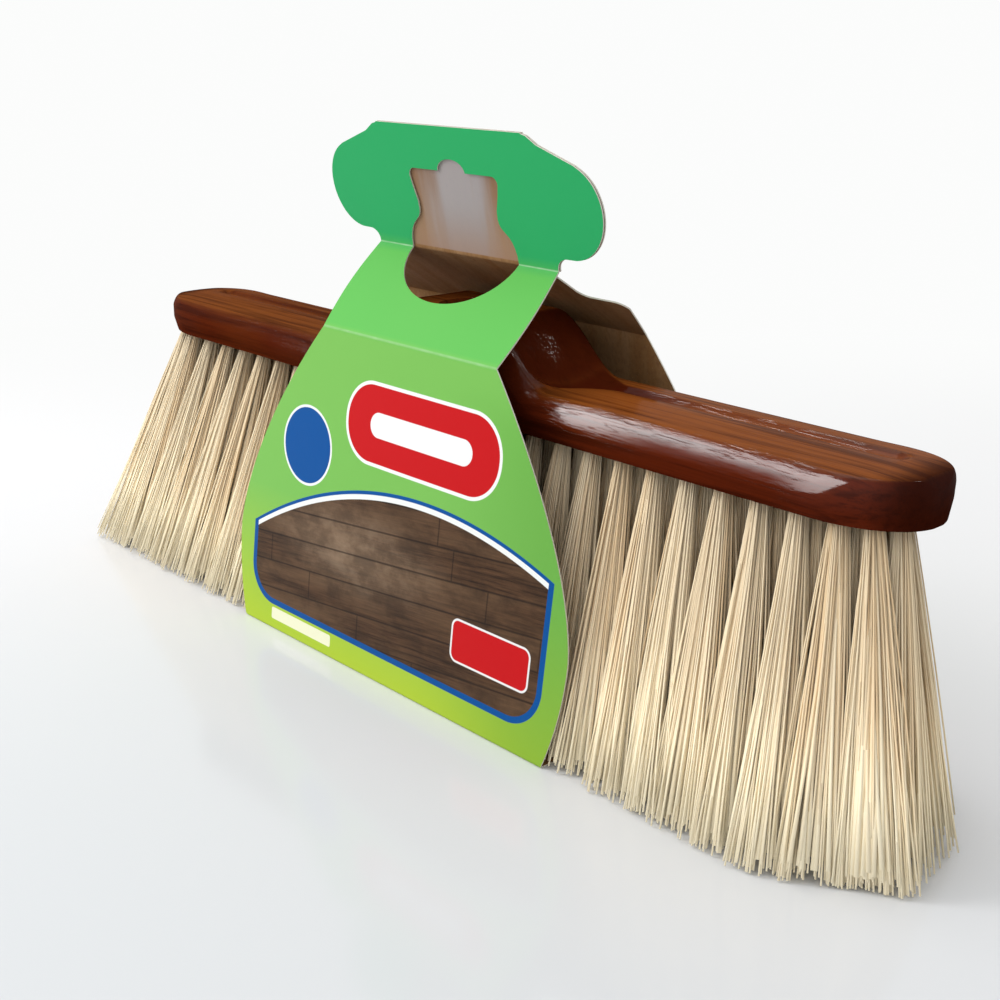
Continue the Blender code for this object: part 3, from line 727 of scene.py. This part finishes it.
def tuft_tree(material):
    """Geometry Nodes tree that fans the filaments of a group of tufts out of their holes."""
    tree = bpy.data.node_groups.new("Flared Tufts", "GeometryNodeTree")
    tree.interface.new_socket("Geometry", in_out="OUTPUT", socket_type="NodeSocketGeometry")
    for kind, labels in (
            ("NodeSocketInt", ("First Column", "Columns", "Last Column", "Filaments", "Seed")),
            ("NodeSocketFloat", ("Pitch", "Row Pitch", "Hole Radius", "Root Height", "Tip Pitch", "Tip Row Pitch",
                                 "Tip Height", "Raggedness", "Far End Lean", "Free Spread", "Rear Pull",
                                 "Filament Radius"))):
        for label in labels:
            tree.interface.new_socket(label, in_out="INPUT", socket_type=kind)
    given = {socket.name: Value(socket) for socket in tree.nodes.new("NodeGroupInput").outputs}
    index = source(tree, "GeometryNodeInputIndex")
    vectors, numbers, left_out = filament_places(given, index)

    def keep(geometry, name, kind, value):
        return add_value("GeometryNodeStoreNamedAttribute", {"Geometry": geometry, "Name": name, "Value": value},
                         data_type=kind, domain="POINT")

    def recall(name, kind):
        item = add_node(tree, "GeometryNodeInputNamedAttribute", {"Name": name}, data_type=kind)
        return Value(next(socket for socket in item.outputs if socket.enabled and socket.name == "Attribute"))

    points = add_value("GeometryNodePoints", {"Count": given["Columns"] * 4.0 * given["Filaments"]})
    for kind, values in (("FLOAT_VECTOR", vectors), ("FLOAT", numbers)):
        for name, value in values.items():
            points = keep(points, name, kind, value)
    points = add_value("GeometryNodeDeleteGeometry", {
        "Geometry": points, "Selection": calc("GREATER_THAN", left_out, 0.5)}, domain="POINT")
    rod = source(tree, "GeometryNodeMeshCylinder", inputs={
        "Vertices": 3, "Side Segments": 4, "Radius": 1.0, "Depth": 1.0})
    mesh = add_value("GeometryNodeRealizeInstances", {
        0: add_value("GeometryNodeInstanceOnPoints", {"Points": points, "Instance": rod})})

    # Each rod, one high and centred on 0, is stretched from its filament's root to its tip
    x, y, z = split(source(tree, "GeometryNodeInputPosition"))
    mesh = keep(mesh, "along", "FLOAT", z + 0.5)
    along = recall("along", "FLOAT")
    root, tip, sway = (recall(name, "FLOAT_VECTOR") for name in vectors)
    centre = root + (tip - root) * along + sway * calc("SINE", along * math.pi)
    thick = given["Filament Radius"] * linear(along, 0.3, 0.9)
    thick = thick * linear(recall("core", "FLOAT") * along, CORE_THICK, 1.0)
    mesh = add_value("GeometryNodeSetPosition", {
        "Geometry": mesh, "Position": centre + combine(x * thick, y * thick)})
    for name in (*vectors, "core"):
        mesh = add_value("GeometryNodeRemoveAttribute", {"Geometry": mesh, "Name": name})
    mesh = add_value("GeometryNodeSetShadeSmooth", {"Geometry": mesh})
    mesh = add_value("GeometryNodeSetMaterial", {"Geometry": mesh, "Material": material})
    plug(tree.nodes.new("NodeGroupOutput").inputs[0], mesh)
    return tree


def set_inputs(modifier, values):
    """Set a Geometry Nodes modifier's inputs by socket identifier."""
    for item in modifier.node_group.interface.items_tree:
        if item.item_type == "SOCKET" and item.in_out == "INPUT":
            modifier[item.identifier] = values[item.name]


class BROOM_OT_bristles(bpy.types.Operator):
    """Make the flared tufts of filaments in four lengths of the head"""

    bl_idname = "broom.bristles"
    bl_label = "Bristle Tufts"

    def execute(self, context):
        settings = context.scene.broom_bristles
        tree = tuft_tree(bristle_material(settings))
        count = len(TUFT_COLUMNS)
        share = count // len(TUFT_BUNDLES)
        # The fan of a tuft and the swing of its locks fill what the tufts' middles leave of the trimmed end
        swing_x, swing_y, tufts_along, tufts_across = 0.006, 0.0035, count - 0.3, 3.72
        values = {
            "Columns": share, "Last Column": count - 1, "Filaments": settings.filaments, "Seed": settings.seed,
            "Pitch": settings.pitch, "Row Pitch": settings.row_pitch,
            "Hole Radius": settings.hole_radius - settings.radius,
            "Root Height": context.scene.broom_block.underside + 0.003,
            "Tip Pitch": (settings.tip_length - swing_x) / tufts_along,
            "Tip Row Pitch": (settings.tip_width - swing_y) / tufts_across, "Tip Height": 0.0006,
            "Raggedness": settings.raggedness, "Far End Lean": settings.far_end_lean,
            "Free Spread": settings.free_spread, "Rear Pull": settings.rear_pull,
            "Filament Radius": settings.radius}
        for number, name in enumerate(TUFT_BUNDLES):
            bundle = add_object(name, bpy.data.meshes.new(name))
            modifier = bundle.modifiers.new("Flared Tufts", "NODES")
            modifier.node_group = tree
            set_inputs(modifier, {**values, "First Column": number * share})
            baked(bundle)
            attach(bundle, "broom_head")
            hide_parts(*TUFT_COLUMNS[number * share:(number + 1) * share])
        return {"FINISHED"}


# Folded card


# Half widths of the card at the neck crease, the front shoulder crease, the notched and the plain side of the rear
# shoulder crease, the panels' widest line and the base
NECK_HALF, CREASE_HALF, NOTCH_HALF, PLAIN_HALF = 0.0365, 0.043, 0.0455, 0.0795
WIDEST_HALF, BASE_HALF = 0.0855, 0.0795
TAB_HEIGHT = 0.0415
WINDOW_HALF = 0.02575
# The card's upper creases, as (y, z), and the line that the two plies of the tab rise from
REAR_CREASE, FRONT_CREASE = (0.035, 0.1185), (-0.031, 0.116)
REAR_NECK, FRONT_NECK = (-0.00452, 0.14271), (-0.00533, 0.14266)
TAB_FOOT, TAB_LEAN = (-0.005, 0.143), math.radians(13)


def rounded_path(corners, radius):
    """Place and outward normal at a distance along a polyline whose inner corners are rounded."""
    corners = [Vector(corner) for corner in corners]
    runs = [(b - a).normalized() for a, b in zip(corners, corners[1:])]
    marks = [0.0]
    for a, b in zip(corners, corners[1:]):
        marks.append(marks[-1] + (b - a).length)

    def at(s):
        leg = sum(1 for mark in marks[1:-1] if s > mark)
        along = runs[leg]
        point = corners[leg] + along * (s - marks[leg])
        for corner, mark, before, after in zip(corners[1:-1], marks[1:-1], runs, runs[1:]):
            reach = radius * math.tan(abs(before.angle_signed(after, 0)) / 2)
            if abs(s - mark) < reach:
                share = (s - mark + reach) / (2 * reach)
                start, end = corner - before * reach, corner + after * reach
                along = before.lerp(after, share).normalized()
                point = start.lerp(corner, share).lerp(corner.lerp(end, share), share)
        return point, Vector((-along.y, along.x))

    return at, marks


def arc(centre, radius, start, end, steps):
    """Points on an elliptical arc in the (x, distance) plane, angles in degrees."""
    angles = np.radians(np.linspace(start, end, steps + 1))
    return [(centre[0] + radius[0] * math.cos(a), centre[1] + radius[1] * math.sin(a)) for a in angles]


def tab_edge():
    """The hang tab's right edge as (x, height above the neck crease)."""
    return [(0.043, 0.0), (0.043, 0.00085), *arc((0.0475, 0.00085), (0.0045, 0.00365), 180, 90, 8),
            *arc((0.050, 0.01925), (0.014, 0.01475), -90, 60, 26),
            (0.0545, 0.0334), (0.0400, 0.0385), (0.0378, 0.0399), (0.0360, 0.0410), (0.0340, TAB_HEIGHT)]


def window_edge():
    """The window's right edge from its top notch down to the neck crease, as (x, height)."""
    return [*arc((0, 0.0275), (0.0065, 0.0040), 90, 0, 10), *arc((0.0185, 0.0250), (0.0025, 0.0025), 90, 0, 6),
            (0.0203, 0.0215), (0.0196, 0.0190), (0.0189, 0.0165), (0.0188, 0.0140), (0.0191, 0.0125),
            (0.0199, 0.0112), (0.0213, 0.0100), (0.0229, 0.0086), (0.0241, 0.0070), (0.0249, 0.0052),
            (0.0255, 0.0030), (WINDOW_HALF, 0.0)]


def panel_reach(s, length, crease):
    """The big panels swell from the shoulder crease to their widest line and draw in to the base."""
    line = 0.082
    if s < line:
        return WIDEST_HALF - (WIDEST_HALF - crease) * ((line - s) / line) ** 1.6
    return WIDEST_HALF - (WIDEST_HALF - BASE_HALF) * ((s - line) / (length - line)) ** 2


def card_edges(marks):
    """Reach of the unfolded card's +X edge, its -X edge and its window's edge, as lists of (distance, reach)."""
    rear_neck, rear_crease, rear_foot, front_foot, front_crease, front_neck = marks[1:7]
    tiny = 0.0001
    shoulder, rear = rear_crease - rear_neck, rear_foot - rear_crease
    front, rise = front_crease - front_foot, front_neck - front_crease
    notched = [(NECK_HALF, 0.0002), (NECK_HALF, 0.0160), *arc((0.0405, 0.0160), (0.004, 0.004), 180, 90, 8),
               *arc((0.0500, 0.0240), (0.004, 0.004), -90, 0, 8), (NOTCH_HALF, shoulder)]
    plain = [(NECK_HALF, 0.0002), (PLAIN_HALF, shoulder)]
    edges = []
    for corner, crease in ((notched, NOTCH_HALF), (plain, PLAIN_HALF)):
        edge = [(rear_neck - h, x) for x, h in reversed(tab_edge())]
        edge += [(rear_neck + s, x) for x, s in corner]
        edge += [(rear_crease + s, panel_reach(s, rear, crease)) for s in np.linspace(tiny, rear, 40)]
        edge += [(front_foot - tiny, BASE_HALF)]
        edge += [(front_crease - s, panel_reach(s, front, CREASE_HALF)) for s in np.linspace(front, 0, 40)]
        edge += [(front_crease + s, CREASE_HALF + 0.0015 * math.sin(math.pi * s / rise))
                 for s in np.linspace(0, rise, 12)]
        edge += [(front_neck + h, x) for x, h in tab_edge()]
        edges.append(edge)
    window = [(front_neck + s, max(x, 0.0)) for x, s in arc((0, 0), (WINDOW_HALF, 0.0200), -90, 0, 18)]
    window += [(front_neck + h, x) for x, h in reversed(window_edge())]
    return (*edges, window)


def stepped(pairs, tiny=0.00002):
    """Outline with each jump in width given a tiny run, as two arrays for interpolation."""
    places, widths = [], []
    for place, width in pairs:
        if places and place <= places[-1]:
            place = places[-1] + tiny
        places.append(place)
        widths.append(width)
    return np.array(places), np.array(widths)


def card_rows(marks, outlines):
    """Distances along the card that its grid has a row at, closer together at the creases."""
    rows = set(np.linspace(0, marks[-1], 150).tolist())
    rows |= set(np.concatenate([outline[0] for outline in outlines]).tolist())
    for mark in marks[1:-1]:
        rows |= set((mark + np.linspace(-1, 1, 9) * 0.0012).tolist())
    rows = np.array(sorted(s for s in rows if 0 <= s <= marks[-1]))
    return rows[np.concatenate([[True], np.diff(rows) > 0.000015])]


def card_path(settings):
    """The card's middle line in the (y, z) plane, from the rear ply's top edge round to the front ply's."""
    half, gap = settings.thickness / 2, 0.0003
    foot = BASE_HIGH.y + gap + half
    top = Vector(TAB_FOOT) + Vector((-math.sin(TAB_LEAN), math.cos(TAB_LEAN))) * TAB_HEIGHT
    ply = Vector((-math.cos(TAB_LEAN), -math.sin(TAB_LEAN))) * (half + 0.00015)
    return rounded_path([top - ply, REAR_NECK, REAR_CREASE, (foot, half), (-foot, half), FRONT_CREASE, FRONT_NECK,
                         top + ply], settings.crease_radius)


def card_mesh(settings):
    """The whole card as one folded sheet, with its unfolded place in the UV map in metres."""
    at, marks = card_path(settings)
    plus, minus, window = [stepped(edge) for edge in card_edges(marks)]
    rows = card_rows(marks, (plus, minus, window))
    gap = np.interp(rows, *window, left=0, right=0)
    columns = 16
    across = np.linspace(0, 1, columns + 1)
    # How far the rear and front panels and the front and rear shoulders bulge between their creases
    bulges = ((marks[2], marks[3], 0.0012), (marks[4], marks[5], 0.0011), (marks[5], marks[6], 0.0004),
              (marks[1], marks[2], 0.0005))
    shape = bmesh.new()
    layer = shape.loops.layers.uv.new("unfolded")
    for side, edge in ((-1, minus), (1, plus)):
        wide = np.interp(rows, *edge)
        verts, uv = [], []
        for number, s in enumerate(rows):
            place, normal = at(float(s))
            x = side * (gap[number] + (wide[number] - gap[number]) * across)[::side]
            bulge = np.zeros(columns + 1)
            for start, end, rise in bulges:
                if start < s < end:
                    share = (s - start) / (end - start)
                    bulge = rise * math.sin(math.pi * share) * np.cos(np.clip(x / 0.17, -0.5, 0.5) * math.pi)
            points = np.stack([x, place.x + normal.x * bulge, place.y + normal.y * bulge], axis=-1)
            verts.append([shape.verts.new(point) for point in points])
            uv.append([(reach, marks[5] - s) for reach in x])
        for i in range(len(rows) - 1):
            for j in range(columns):
                corners = [(i, j), (i, j + 1), (i + 1, j + 1), (i + 1, j)]
                face = shape.faces.new([verts[a][b] for a, b in corners])
                face.smooth = True
                for loop, (a, b) in zip(face.loops, corners):
                    loop[layer].uv = uv[a][b]
    bmesh.ops.remove_doubles(shape, verts=shape.verts, dist=0.000002)
    shape.normal_update()
    mesh = bpy.data.meshes.new("folded_card")
    shape.to_mesh(mesh)
    shape.free()
    return mesh


def rounded_box(u, v, centre, size, radius):
    """Signed distance from a rounded rectangle: below 0 inside it."""
    across, down = (abs(place - middle) - (whole / 2 - radius)
                    for place, middle, whole in zip((u, v), centre, size))
    out_across, out_down = calc("MAXIMUM", across, 0.0), calc("MAXIMUM", down, 0.0)
    outside = calc("SQRT", out_across * out_across + out_down * out_down)
    inside = calc("MINIMUM", calc("MAXIMUM", across, down), 0.0)
    return outside + inside - radius


def disc(u, v, centre, radius):
    """Signed distance from a disc: below 0 inside it."""
    across, down = u - centre[0], v - centre[1]
    return calc("SQRT", across * across + down * down) - radius


def inked(distance, ink, under):
    """Lay an ink where a signed distance is below 0."""
    soft = 0.00012
    return blend_color(remap(distance, -soft, soft, 1.0, 0.0), under, ink)


def sheet_place(tree):
    """The unfolded card's UV point, its distance u from the middle line and v down from the front shoulder crease."""
    uv = source(tree, "ShaderNodeUVMap", uv_map="unfolded")
    u, v, _ = split(uv)
    return uv, u, v


def card_greens(settings, down):
    """The greens from the hang tab down to the panels' foot."""
    ramp = add_node(down.socket.id_data, "ShaderNodeValToRGB", {"Fac": remap(down, -0.080, 0.118, blend="LINEAR")})
    stops = ((0.0, settings.tab_green), (0.20, settings.tab_green), (0.235, settings.shoulder_green),
             (0.395, settings.shoulder_green), (0.41, settings.panel_green), (0.72, settings.panel_green),
             (1.0, settings.foot_green))
    elements = ramp.color_ramp.elements
    while len(elements) < len(stops):
        elements.new(1.0)
    for element, (place, ink) in zip(elements, stops):
        element.position = place
        element.color = (*ink, 1.0)
    return Value(ramp.outputs["Color"])


def printed_card(settings):
    """Coated board printed in greens, with a plain banner, disc and badge over a picture of floor boards, and painted
    shade towards the front panel's +X edge.
    """
    material, tree = new_material("printed_card")
    uv, u, v = sheet_place(tree)
    rear_crease, neck_rise = 0.3242, 0.0371
    front = calc("GREATER_THAN", v, -0.0375) * calc("LESS_THAN", v, 0.1165)
    green = card_greens(settings, calc("MINIMUM", v, rear_crease - v))
    color = blend_color(noise(uv, (14, 14, 14), 2.0) * 0.05, green, (0.75, 0.85, 0.35))
    # Painted shade: the front panel darkens towards its +X edge
    painted_edge_shade = remap(u, 0.015, 0.080, 0.0, 0.5) * remap(v, 0.0, 0.02)
    color = blend_color(painted_edge_shade, color, (0.10, 0.33, 0.04))

    # Picture of floor boards in a blue frame, under a white arch
    white = (0.88, 0.88, 0.88)
    arch = linear((u - 0.02) * (u - 0.02), 3.2, 0.050)
    below = arch - v
    frame_edge = rounded_box(u, v, (0.0, 0.075), (0.149, 0.060), 0.012)
    picture = calc("MAXIMUM", frame_edge, below)
    arch_line = calc("MAXIMUM", abs(below) - 0.0009, frame_edge)
    color = inked(picture - 0.0022, settings.blue, color)
    color = inked(picture, floor_boards(u, v), color)
    color = inked(arch_line, (0.86, 0.88, 0.86), color)

    # Banner with its plate, disc, badge and strip, each over a rim of white
    banner = rounded_box(u, v, (0.012, 0.028), (0.074, 0.026), 0.0125)
    plate = rounded_box(u, v, (0.012, 0.028), (0.050, 0.0085), 0.00425)
    spot = disc(u, v, (-0.047, 0.043), 0.0135)
    badge = rounded_box(u, v, (0.053, 0.0885), (0.034, 0.0135), 0.0025)
    strip = rounded_box(u, v, (-0.045, 0.1105), (0.036, 0.0045), 0.0008)
    for shape, ink in ((banner - 0.0012, white), (banner, settings.red), (plate, white),
                       (spot - 0.0009, (0.86, 0.88, 0.88)), (spot, settings.blue),
                       (badge - 0.0007, (0.86, 0.86, 0.86)), (badge, settings.red), (strip, (0.86, 0.86, 0.62))):
        color = inked(shape, ink, color)
    color = blend_color(front, green, color)

    # The ink is worn pale along the shoulder crease and the neck crease
    crack = calc("MINIMUM", abs(v), abs(v + neck_rise))
    wear = remap(crack, 0.0001, 0.0006, 1.0, 0.0) * remap(noise(uv, (160, 40, 40)), 0.2, 0.8, 0.25, 0.75)
    color = blend_color(wear * remap(v, -0.025, -0.012, 0.5, 0.25), color, (0.80, 0.86, 0.74))
    finish_material(tree, Base_Color=color, Roughness=linear(noise(uv, (260, 260, 260)), 0.14, 0.30),
                    Specular_IOR_Level=0.1, Normal=bump(noise(uv, (1400, 1400, 1400), 2.0), 0.00002, 0.35))
    return material


def floor_boards(u, v):
    """Printed picture of worn floor boards, with dark joints and a soft shine."""
    board_width, board_length = 0.0105, 0.115
    slant = linear(u, 0.10, v)
    lane = slant / board_width
    number = calc("FLOOR", lane)
    across = calc("FRACT", lane)
    joint = calc("MINIMUM", across, 1.0 - across)
    end = calc("FRACT", (u + calc("SINE", number * 12.9) * 0.09) / board_length)
    butt = calc("MINIMUM", end, 1.0 - end)
    place = combine(u + number * 0.37, slant)
    grain = noise(place, (45, 900, 1), 5.0, 0.7)
    tone = noise(place, (12, 95, 1), 1.0)
    worn = noise(combine(u, v), (55, 90, 1), 5.0, 0.65)
    color = blend_color(remap(grain, 0.3, 0.75), (0.105, 0.052, 0.026), (0.018, 0.009, 0.005))
    color = blend_color(remap(tone, 0.35, 0.7, 0.0, 0.6), color, (0.15, 0.085, 0.045))
    color = blend_color(remap(worn, 0.42, 0.72, 0.0, 0.65), color, (0.024, 0.012, 0.007))
    from_shine = vector_calc("DISTANCE", stretched(combine(u, v), (0.55, 1.6, 1)), (-0.010, 0.118, 0), output="Value")
    shine = remap(from_shine, 0.0, 0.034, 0.6, 0.0) * remap(worn, 0.3, 0.6, 1.0, 0.35)
    color = blend_color(shine, color, (0.38, 0.27, 0.18))
    seams = calc("MAXIMUM", remap(joint, 0.01, 0.05, 0.7, 0.0), remap(butt, 0.001, 0.004, 0.6, 0.0))
    return blend_color(seams, color, (0.012, 0.007, 0.005))


def bare_board(settings):
    """Unprinted brown board with fine fibres and faint streaks; behind the window the rear ply has painted light and a
    painted pale sheen.
    """
    material, tree = new_material("bare_board")
    uv, u, v = sheet_place(tree)
    height = v - 0.3709
    fibre = noise(uv, (900, 500, 500), 4.0, 0.6)
    streak = noise(uv, (150, 18, 18))
    fleck = noise(uv, (2600, 1200, 1200), 1.0)
    color = blend_color(remap(streak, 0.3, 0.7), settings.kraft, (0.34, 0.19, 0.085))
    color = blend_color(remap(fibre, 0.4, 0.75, 0.0, 0.4), color, (0.13, 0.066, 0.028))
    color = blend_color(remap(fleck, 0.66, 0.74, 0.0, 0.5), color, (0.42, 0.29, 0.17))
    # Painted light and a painted sheen on the rear ply behind the window: paler low down, darker upwards, mauve-grey
    # down the middle
    rear_ply = remap(height, -0.0002, 0.0002)
    wavy = u + (streak - 0.5) * 0.02
    sheen = remap(abs(wavy - 0.001), 0.006, 0.021, 1.0, 0.0) * remap(height, -0.004, 0.018, 0.35, 1.0)
    lit = blend_color(remap(height, 0.0, 0.03), (0.36, 0.22, 0.14), (0.24, 0.13, 0.075))
    lit = blend_color(sheen, lit, (0.37, 0.345, 0.36))
    color = blend_color(rear_ply * 0.85, color, lit)
    finish_material(tree, Base_Color=color, Roughness=0.82, Specular_IOR_Level=0.15,
                    Normal=bump(fibre, 0.00004, 0.5))
    return material


def board_core():
    """Pale cut edge of the board."""
    material, tree = new_material("board_core")
    fuzz = noise(source(tree, "ShaderNodeTexCoord", "Object"), (1500, 1500, 1500), 2.0)
    finish_material(tree, Base_Color=blend_color(fuzz, (0.50, 0.46, 0.38), (0.80, 0.78, 0.70)), Roughness=0.8,
                    Normal=bump(fuzz, 0.00003, 0.5))
    return material


class BROOM_OT_card(bpy.types.Operator):
    """Make the printed card, folded into the sleeve and its two-ply hang tab"""

    bl_idname = "broom.card"
    bl_label = "Folded Card"

    def execute(self, context):
        settings = context.scene.broom_card
        materials = [printed_card(settings), bare_board(settings), board_core()]
        card = add_object("folded_card", card_mesh(settings), materials)
        wall = card.modifiers.new("Board", "SOLIDIFY")
        wall.thickness = settings.thickness
        wall.offset = 0.0
        wall.material_offset = 1
        wall.material_offset_rim = 2
        baked(card)
        card.data.set_sharp_from_angle(angle=math.radians(50))
        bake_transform(card)
        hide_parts("sleeve_base", "sleeve_front_panel", "sleeve_rear_panel", "sleeve_front_shoulder",
                    "sleeve_rear_shoulder", "hang_tab_front_ply", "hang_tab_rear_ply")
        return {"FINISHED"}


# Studio


WHITE = (0.97, 0.975, 0.97)
LENS_SHIFT = (0.00235, 0.04417)


def whiten(tree, kind, lit, share=None):
    """Show the eye flat white in place of what is lit, where the share is 1, straight or in gloss and glass."""
    rays = add_node(tree, "ShaderNodeLightPath").outputs
    camera, glossy, through = (Value(rays[f"Is {name} Ray"]) for name in ("Camera", "Glossy", "Transmission"))
    seen = calc("MAXIMUM", camera, calc("MAXIMUM", glossy, through))
    white = source(tree, kind, inputs={"Color": WHITE, "Strength": 1.0})
    mixed = add_value("ShaderNodeMixShader", {0: share * seen if share else seen, 1: Value(lit), 2: white})
    output = next(item for item in tree.nodes if item.type.startswith("OUTPUT_"))
    plug(output.inputs["Surface"], mixed)


def floor_material():
    """Pale glossy table top with painted shade, darker towards the front and left, white for the eye beyond its back
    edge.
    """
    material, tree = new_material("pale_table")
    x, y, _ = split(source(tree, "ShaderNodeTexCoord", "Object"))
    ahead, across = 0.695, 0.719
    back = y * ahead - x * across
    right = x * ahead + y * across
    # Painted shade: the top is darker towards the front and left
    near = remap(linear(right, 0.5, back), -0.24, 0.16)
    shader = finish_material(tree, Base_Color=blend_color(near, (0.67, 0.69, 0.71), (0.80, 0.80, 0.81)),
                             Roughness=0.12, Specular_IOR_Level=0.3)
    whiten(tree, "ShaderNodeEmission", shader.outputs[0], remap(back, 0.06, 0.60))
    return material


def add_world(light, shade):
    """Even light that fades from the front left to the back right, white behind the table for the eye."""
    world = bpy.data.worlds.new("studio")
    world.use_nodes = True
    tree = world.node_tree
    toward = source(tree, "ShaderNodeTexCoord", "Generated")
    side = vector_calc("DOT_PRODUCT", toward, (-0.50, -0.62, 0.60), output="Value")
    horizon = remap(split(toward)[2], 0.03, 0.15, 0.9, 0.0)
    lit = tree.nodes["Background"]
    plug(lit.inputs["Color"], (1, 1, 1))
    plug(lit.inputs["Strength"], calc("MAXIMUM", remap(side, -0.35, 0.85, shade, light), horizon))
    whiten(tree, "ShaderNodeBackground", lit.outputs[0])
    bpy.context.scene.world = world


def add_softbox(name, place, aim, size, power, lights=None):
    """Rectangular lamp aimed at a point. One that lights the varnish alone shows only in its gloss."""
    light = bpy.data.lights.new(name, "AREA")
    light.shape = "RECTANGLE"
    light.size, light.size_y = size
    light.energy = power
    item = add_object(name, light)
    item.location = place
    item.rotation_euler = (Vector(aim) - Vector(place)).to_track_quat("-Z", "Y").to_euler()
    item.visible_camera = False
    if lights:
        item.light_linking.receiver_collection = lights
        item.visible_diffuse = lights.name != "varnished"


def add_lamps(settings):
    """Five softboxes: two for everything, two for the varnish alone and one for the bristles alone."""
    receivers = {}
    for name, members in (("varnished", ("block",)), ("bristled", TUFT_BUNDLES)):
        receivers[name] = bpy.data.collections.new(name)
        for member in members:
            receivers[name].objects.link(bpy.data.objects[member])
    varnished, bristled = receivers["varnished"], receivers["bristled"]
    middle = (0.08, 0, 0.09)
    for softbox in (
            ("key_softbox", (-0.72, -0.72, 0.68), middle, (0.36, 0.66), settings.key_power),
            ("low_softbox", (0.30, -0.62, 0.04), (0.10, 0, 0.015), (0.5, 0.08), settings.low_power, bristled),
            ("shine_softbox", (-0.195, -0.348, 0.335), (0.10, -0.02, 0.10), (0.40, 0.46), settings.shine_power,
             varnished),
            ("spark_softbox", (0.75, 0.55, 1.10), (0.03, 0, 0.12), (0.36, 0.36), settings.spark_power, varnished),
            ("top_softbox", (-0.2, -0.1, 1.3), middle, (0.7, 0.7), settings.top_power)):
        add_softbox(*softbox)


def add_camera(settings):
    """Camera at the place and turn that the object is looked at from."""
    lens = bpy.data.cameras.new("camera")
    lens.lens = settings.focal_length
    lens.sensor_width = 36
    lens.shift_x, lens.shift_y = LENS_SHIFT
    lens.clip_start = 0.01
    camera = add_object("camera", lens)
    turn, tilt, roll = settings.camera_turn
    camera.matrix_world = (Matrix.Translation(settings.camera_place) @ Matrix.Rotation(turn, 4, "Z")
                           @ Matrix.Rotation(math.pi / 2 - tilt, 4, "X") @ Matrix.Rotation(roll, 4, "Z"))
    return camera


class BROOM_OT_studio(bpy.types.Operator):
    """Make the pale table, the softboxes and the camera"""

    bl_idname = "broom.studio"
    bl_label = "Studio"

    def execute(self, context):
        settings = context.scene.broom_studio
        points = 4 * np.array([[(-1, -1, 0), (1, -1, 0)], [(-1, 1, 0), (1, 1, 0)]], float)
        floor = add_object("table_top", grid_mesh("table_top", points), [floor_material()])
        add_lamps(settings)
        add_world(settings.sky_light, settings.sky_shade)
        context.scene.camera = add_camera(settings)
        context.scene.view_settings.view_transform = "Standard"
        return {"FINISHED"}


class BROOM_PT_panel(bpy.types.Panel):
    """Lists the steps and their settings"""

    bl_idname = "BROOM_PT_panel"
    bl_label = "Broom Head"
    bl_space_type = "VIEW_3D"
    bl_region_type = "UI"
    bl_category = "Broom"

    def draw(self, context):
        for group, step in zip(GROUPS, STEPS):
            box = self.layout.box()
            box.operator(step.bl_idname)
            settings = getattr(context.scene, group)
            for name in GROUPS[group].__annotations__:
                box.prop(settings, name)


STEPS = (BROOM_OT_block, BROOM_OT_bristles, BROOM_OT_card, BROOM_OT_studio)
CLASSES = (*GROUPS.values(), *STEPS, BROOM_PT_panel)


def register():
    for item in CLASSES:
        bpy.utils.register_class(item)
    for name, group in GROUPS.items():
        setattr(bpy.types.Scene, name, bpy.props.PointerProperty(type=group))


def unregister():
    for name in GROUPS:
        delattr(bpy.types.Scene, name)
    for item in reversed(CLASSES):
        bpy.utils.unregister_class(item)


def main():
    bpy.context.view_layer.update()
    register()
    bpy.ops.broom.block()
    bpy.ops.broom.bristles()
    bpy.ops.broom.card()
    bpy.ops.broom.studio()
    bpy.context.view_layer.update()


if __name__ == "__main__":
    main()
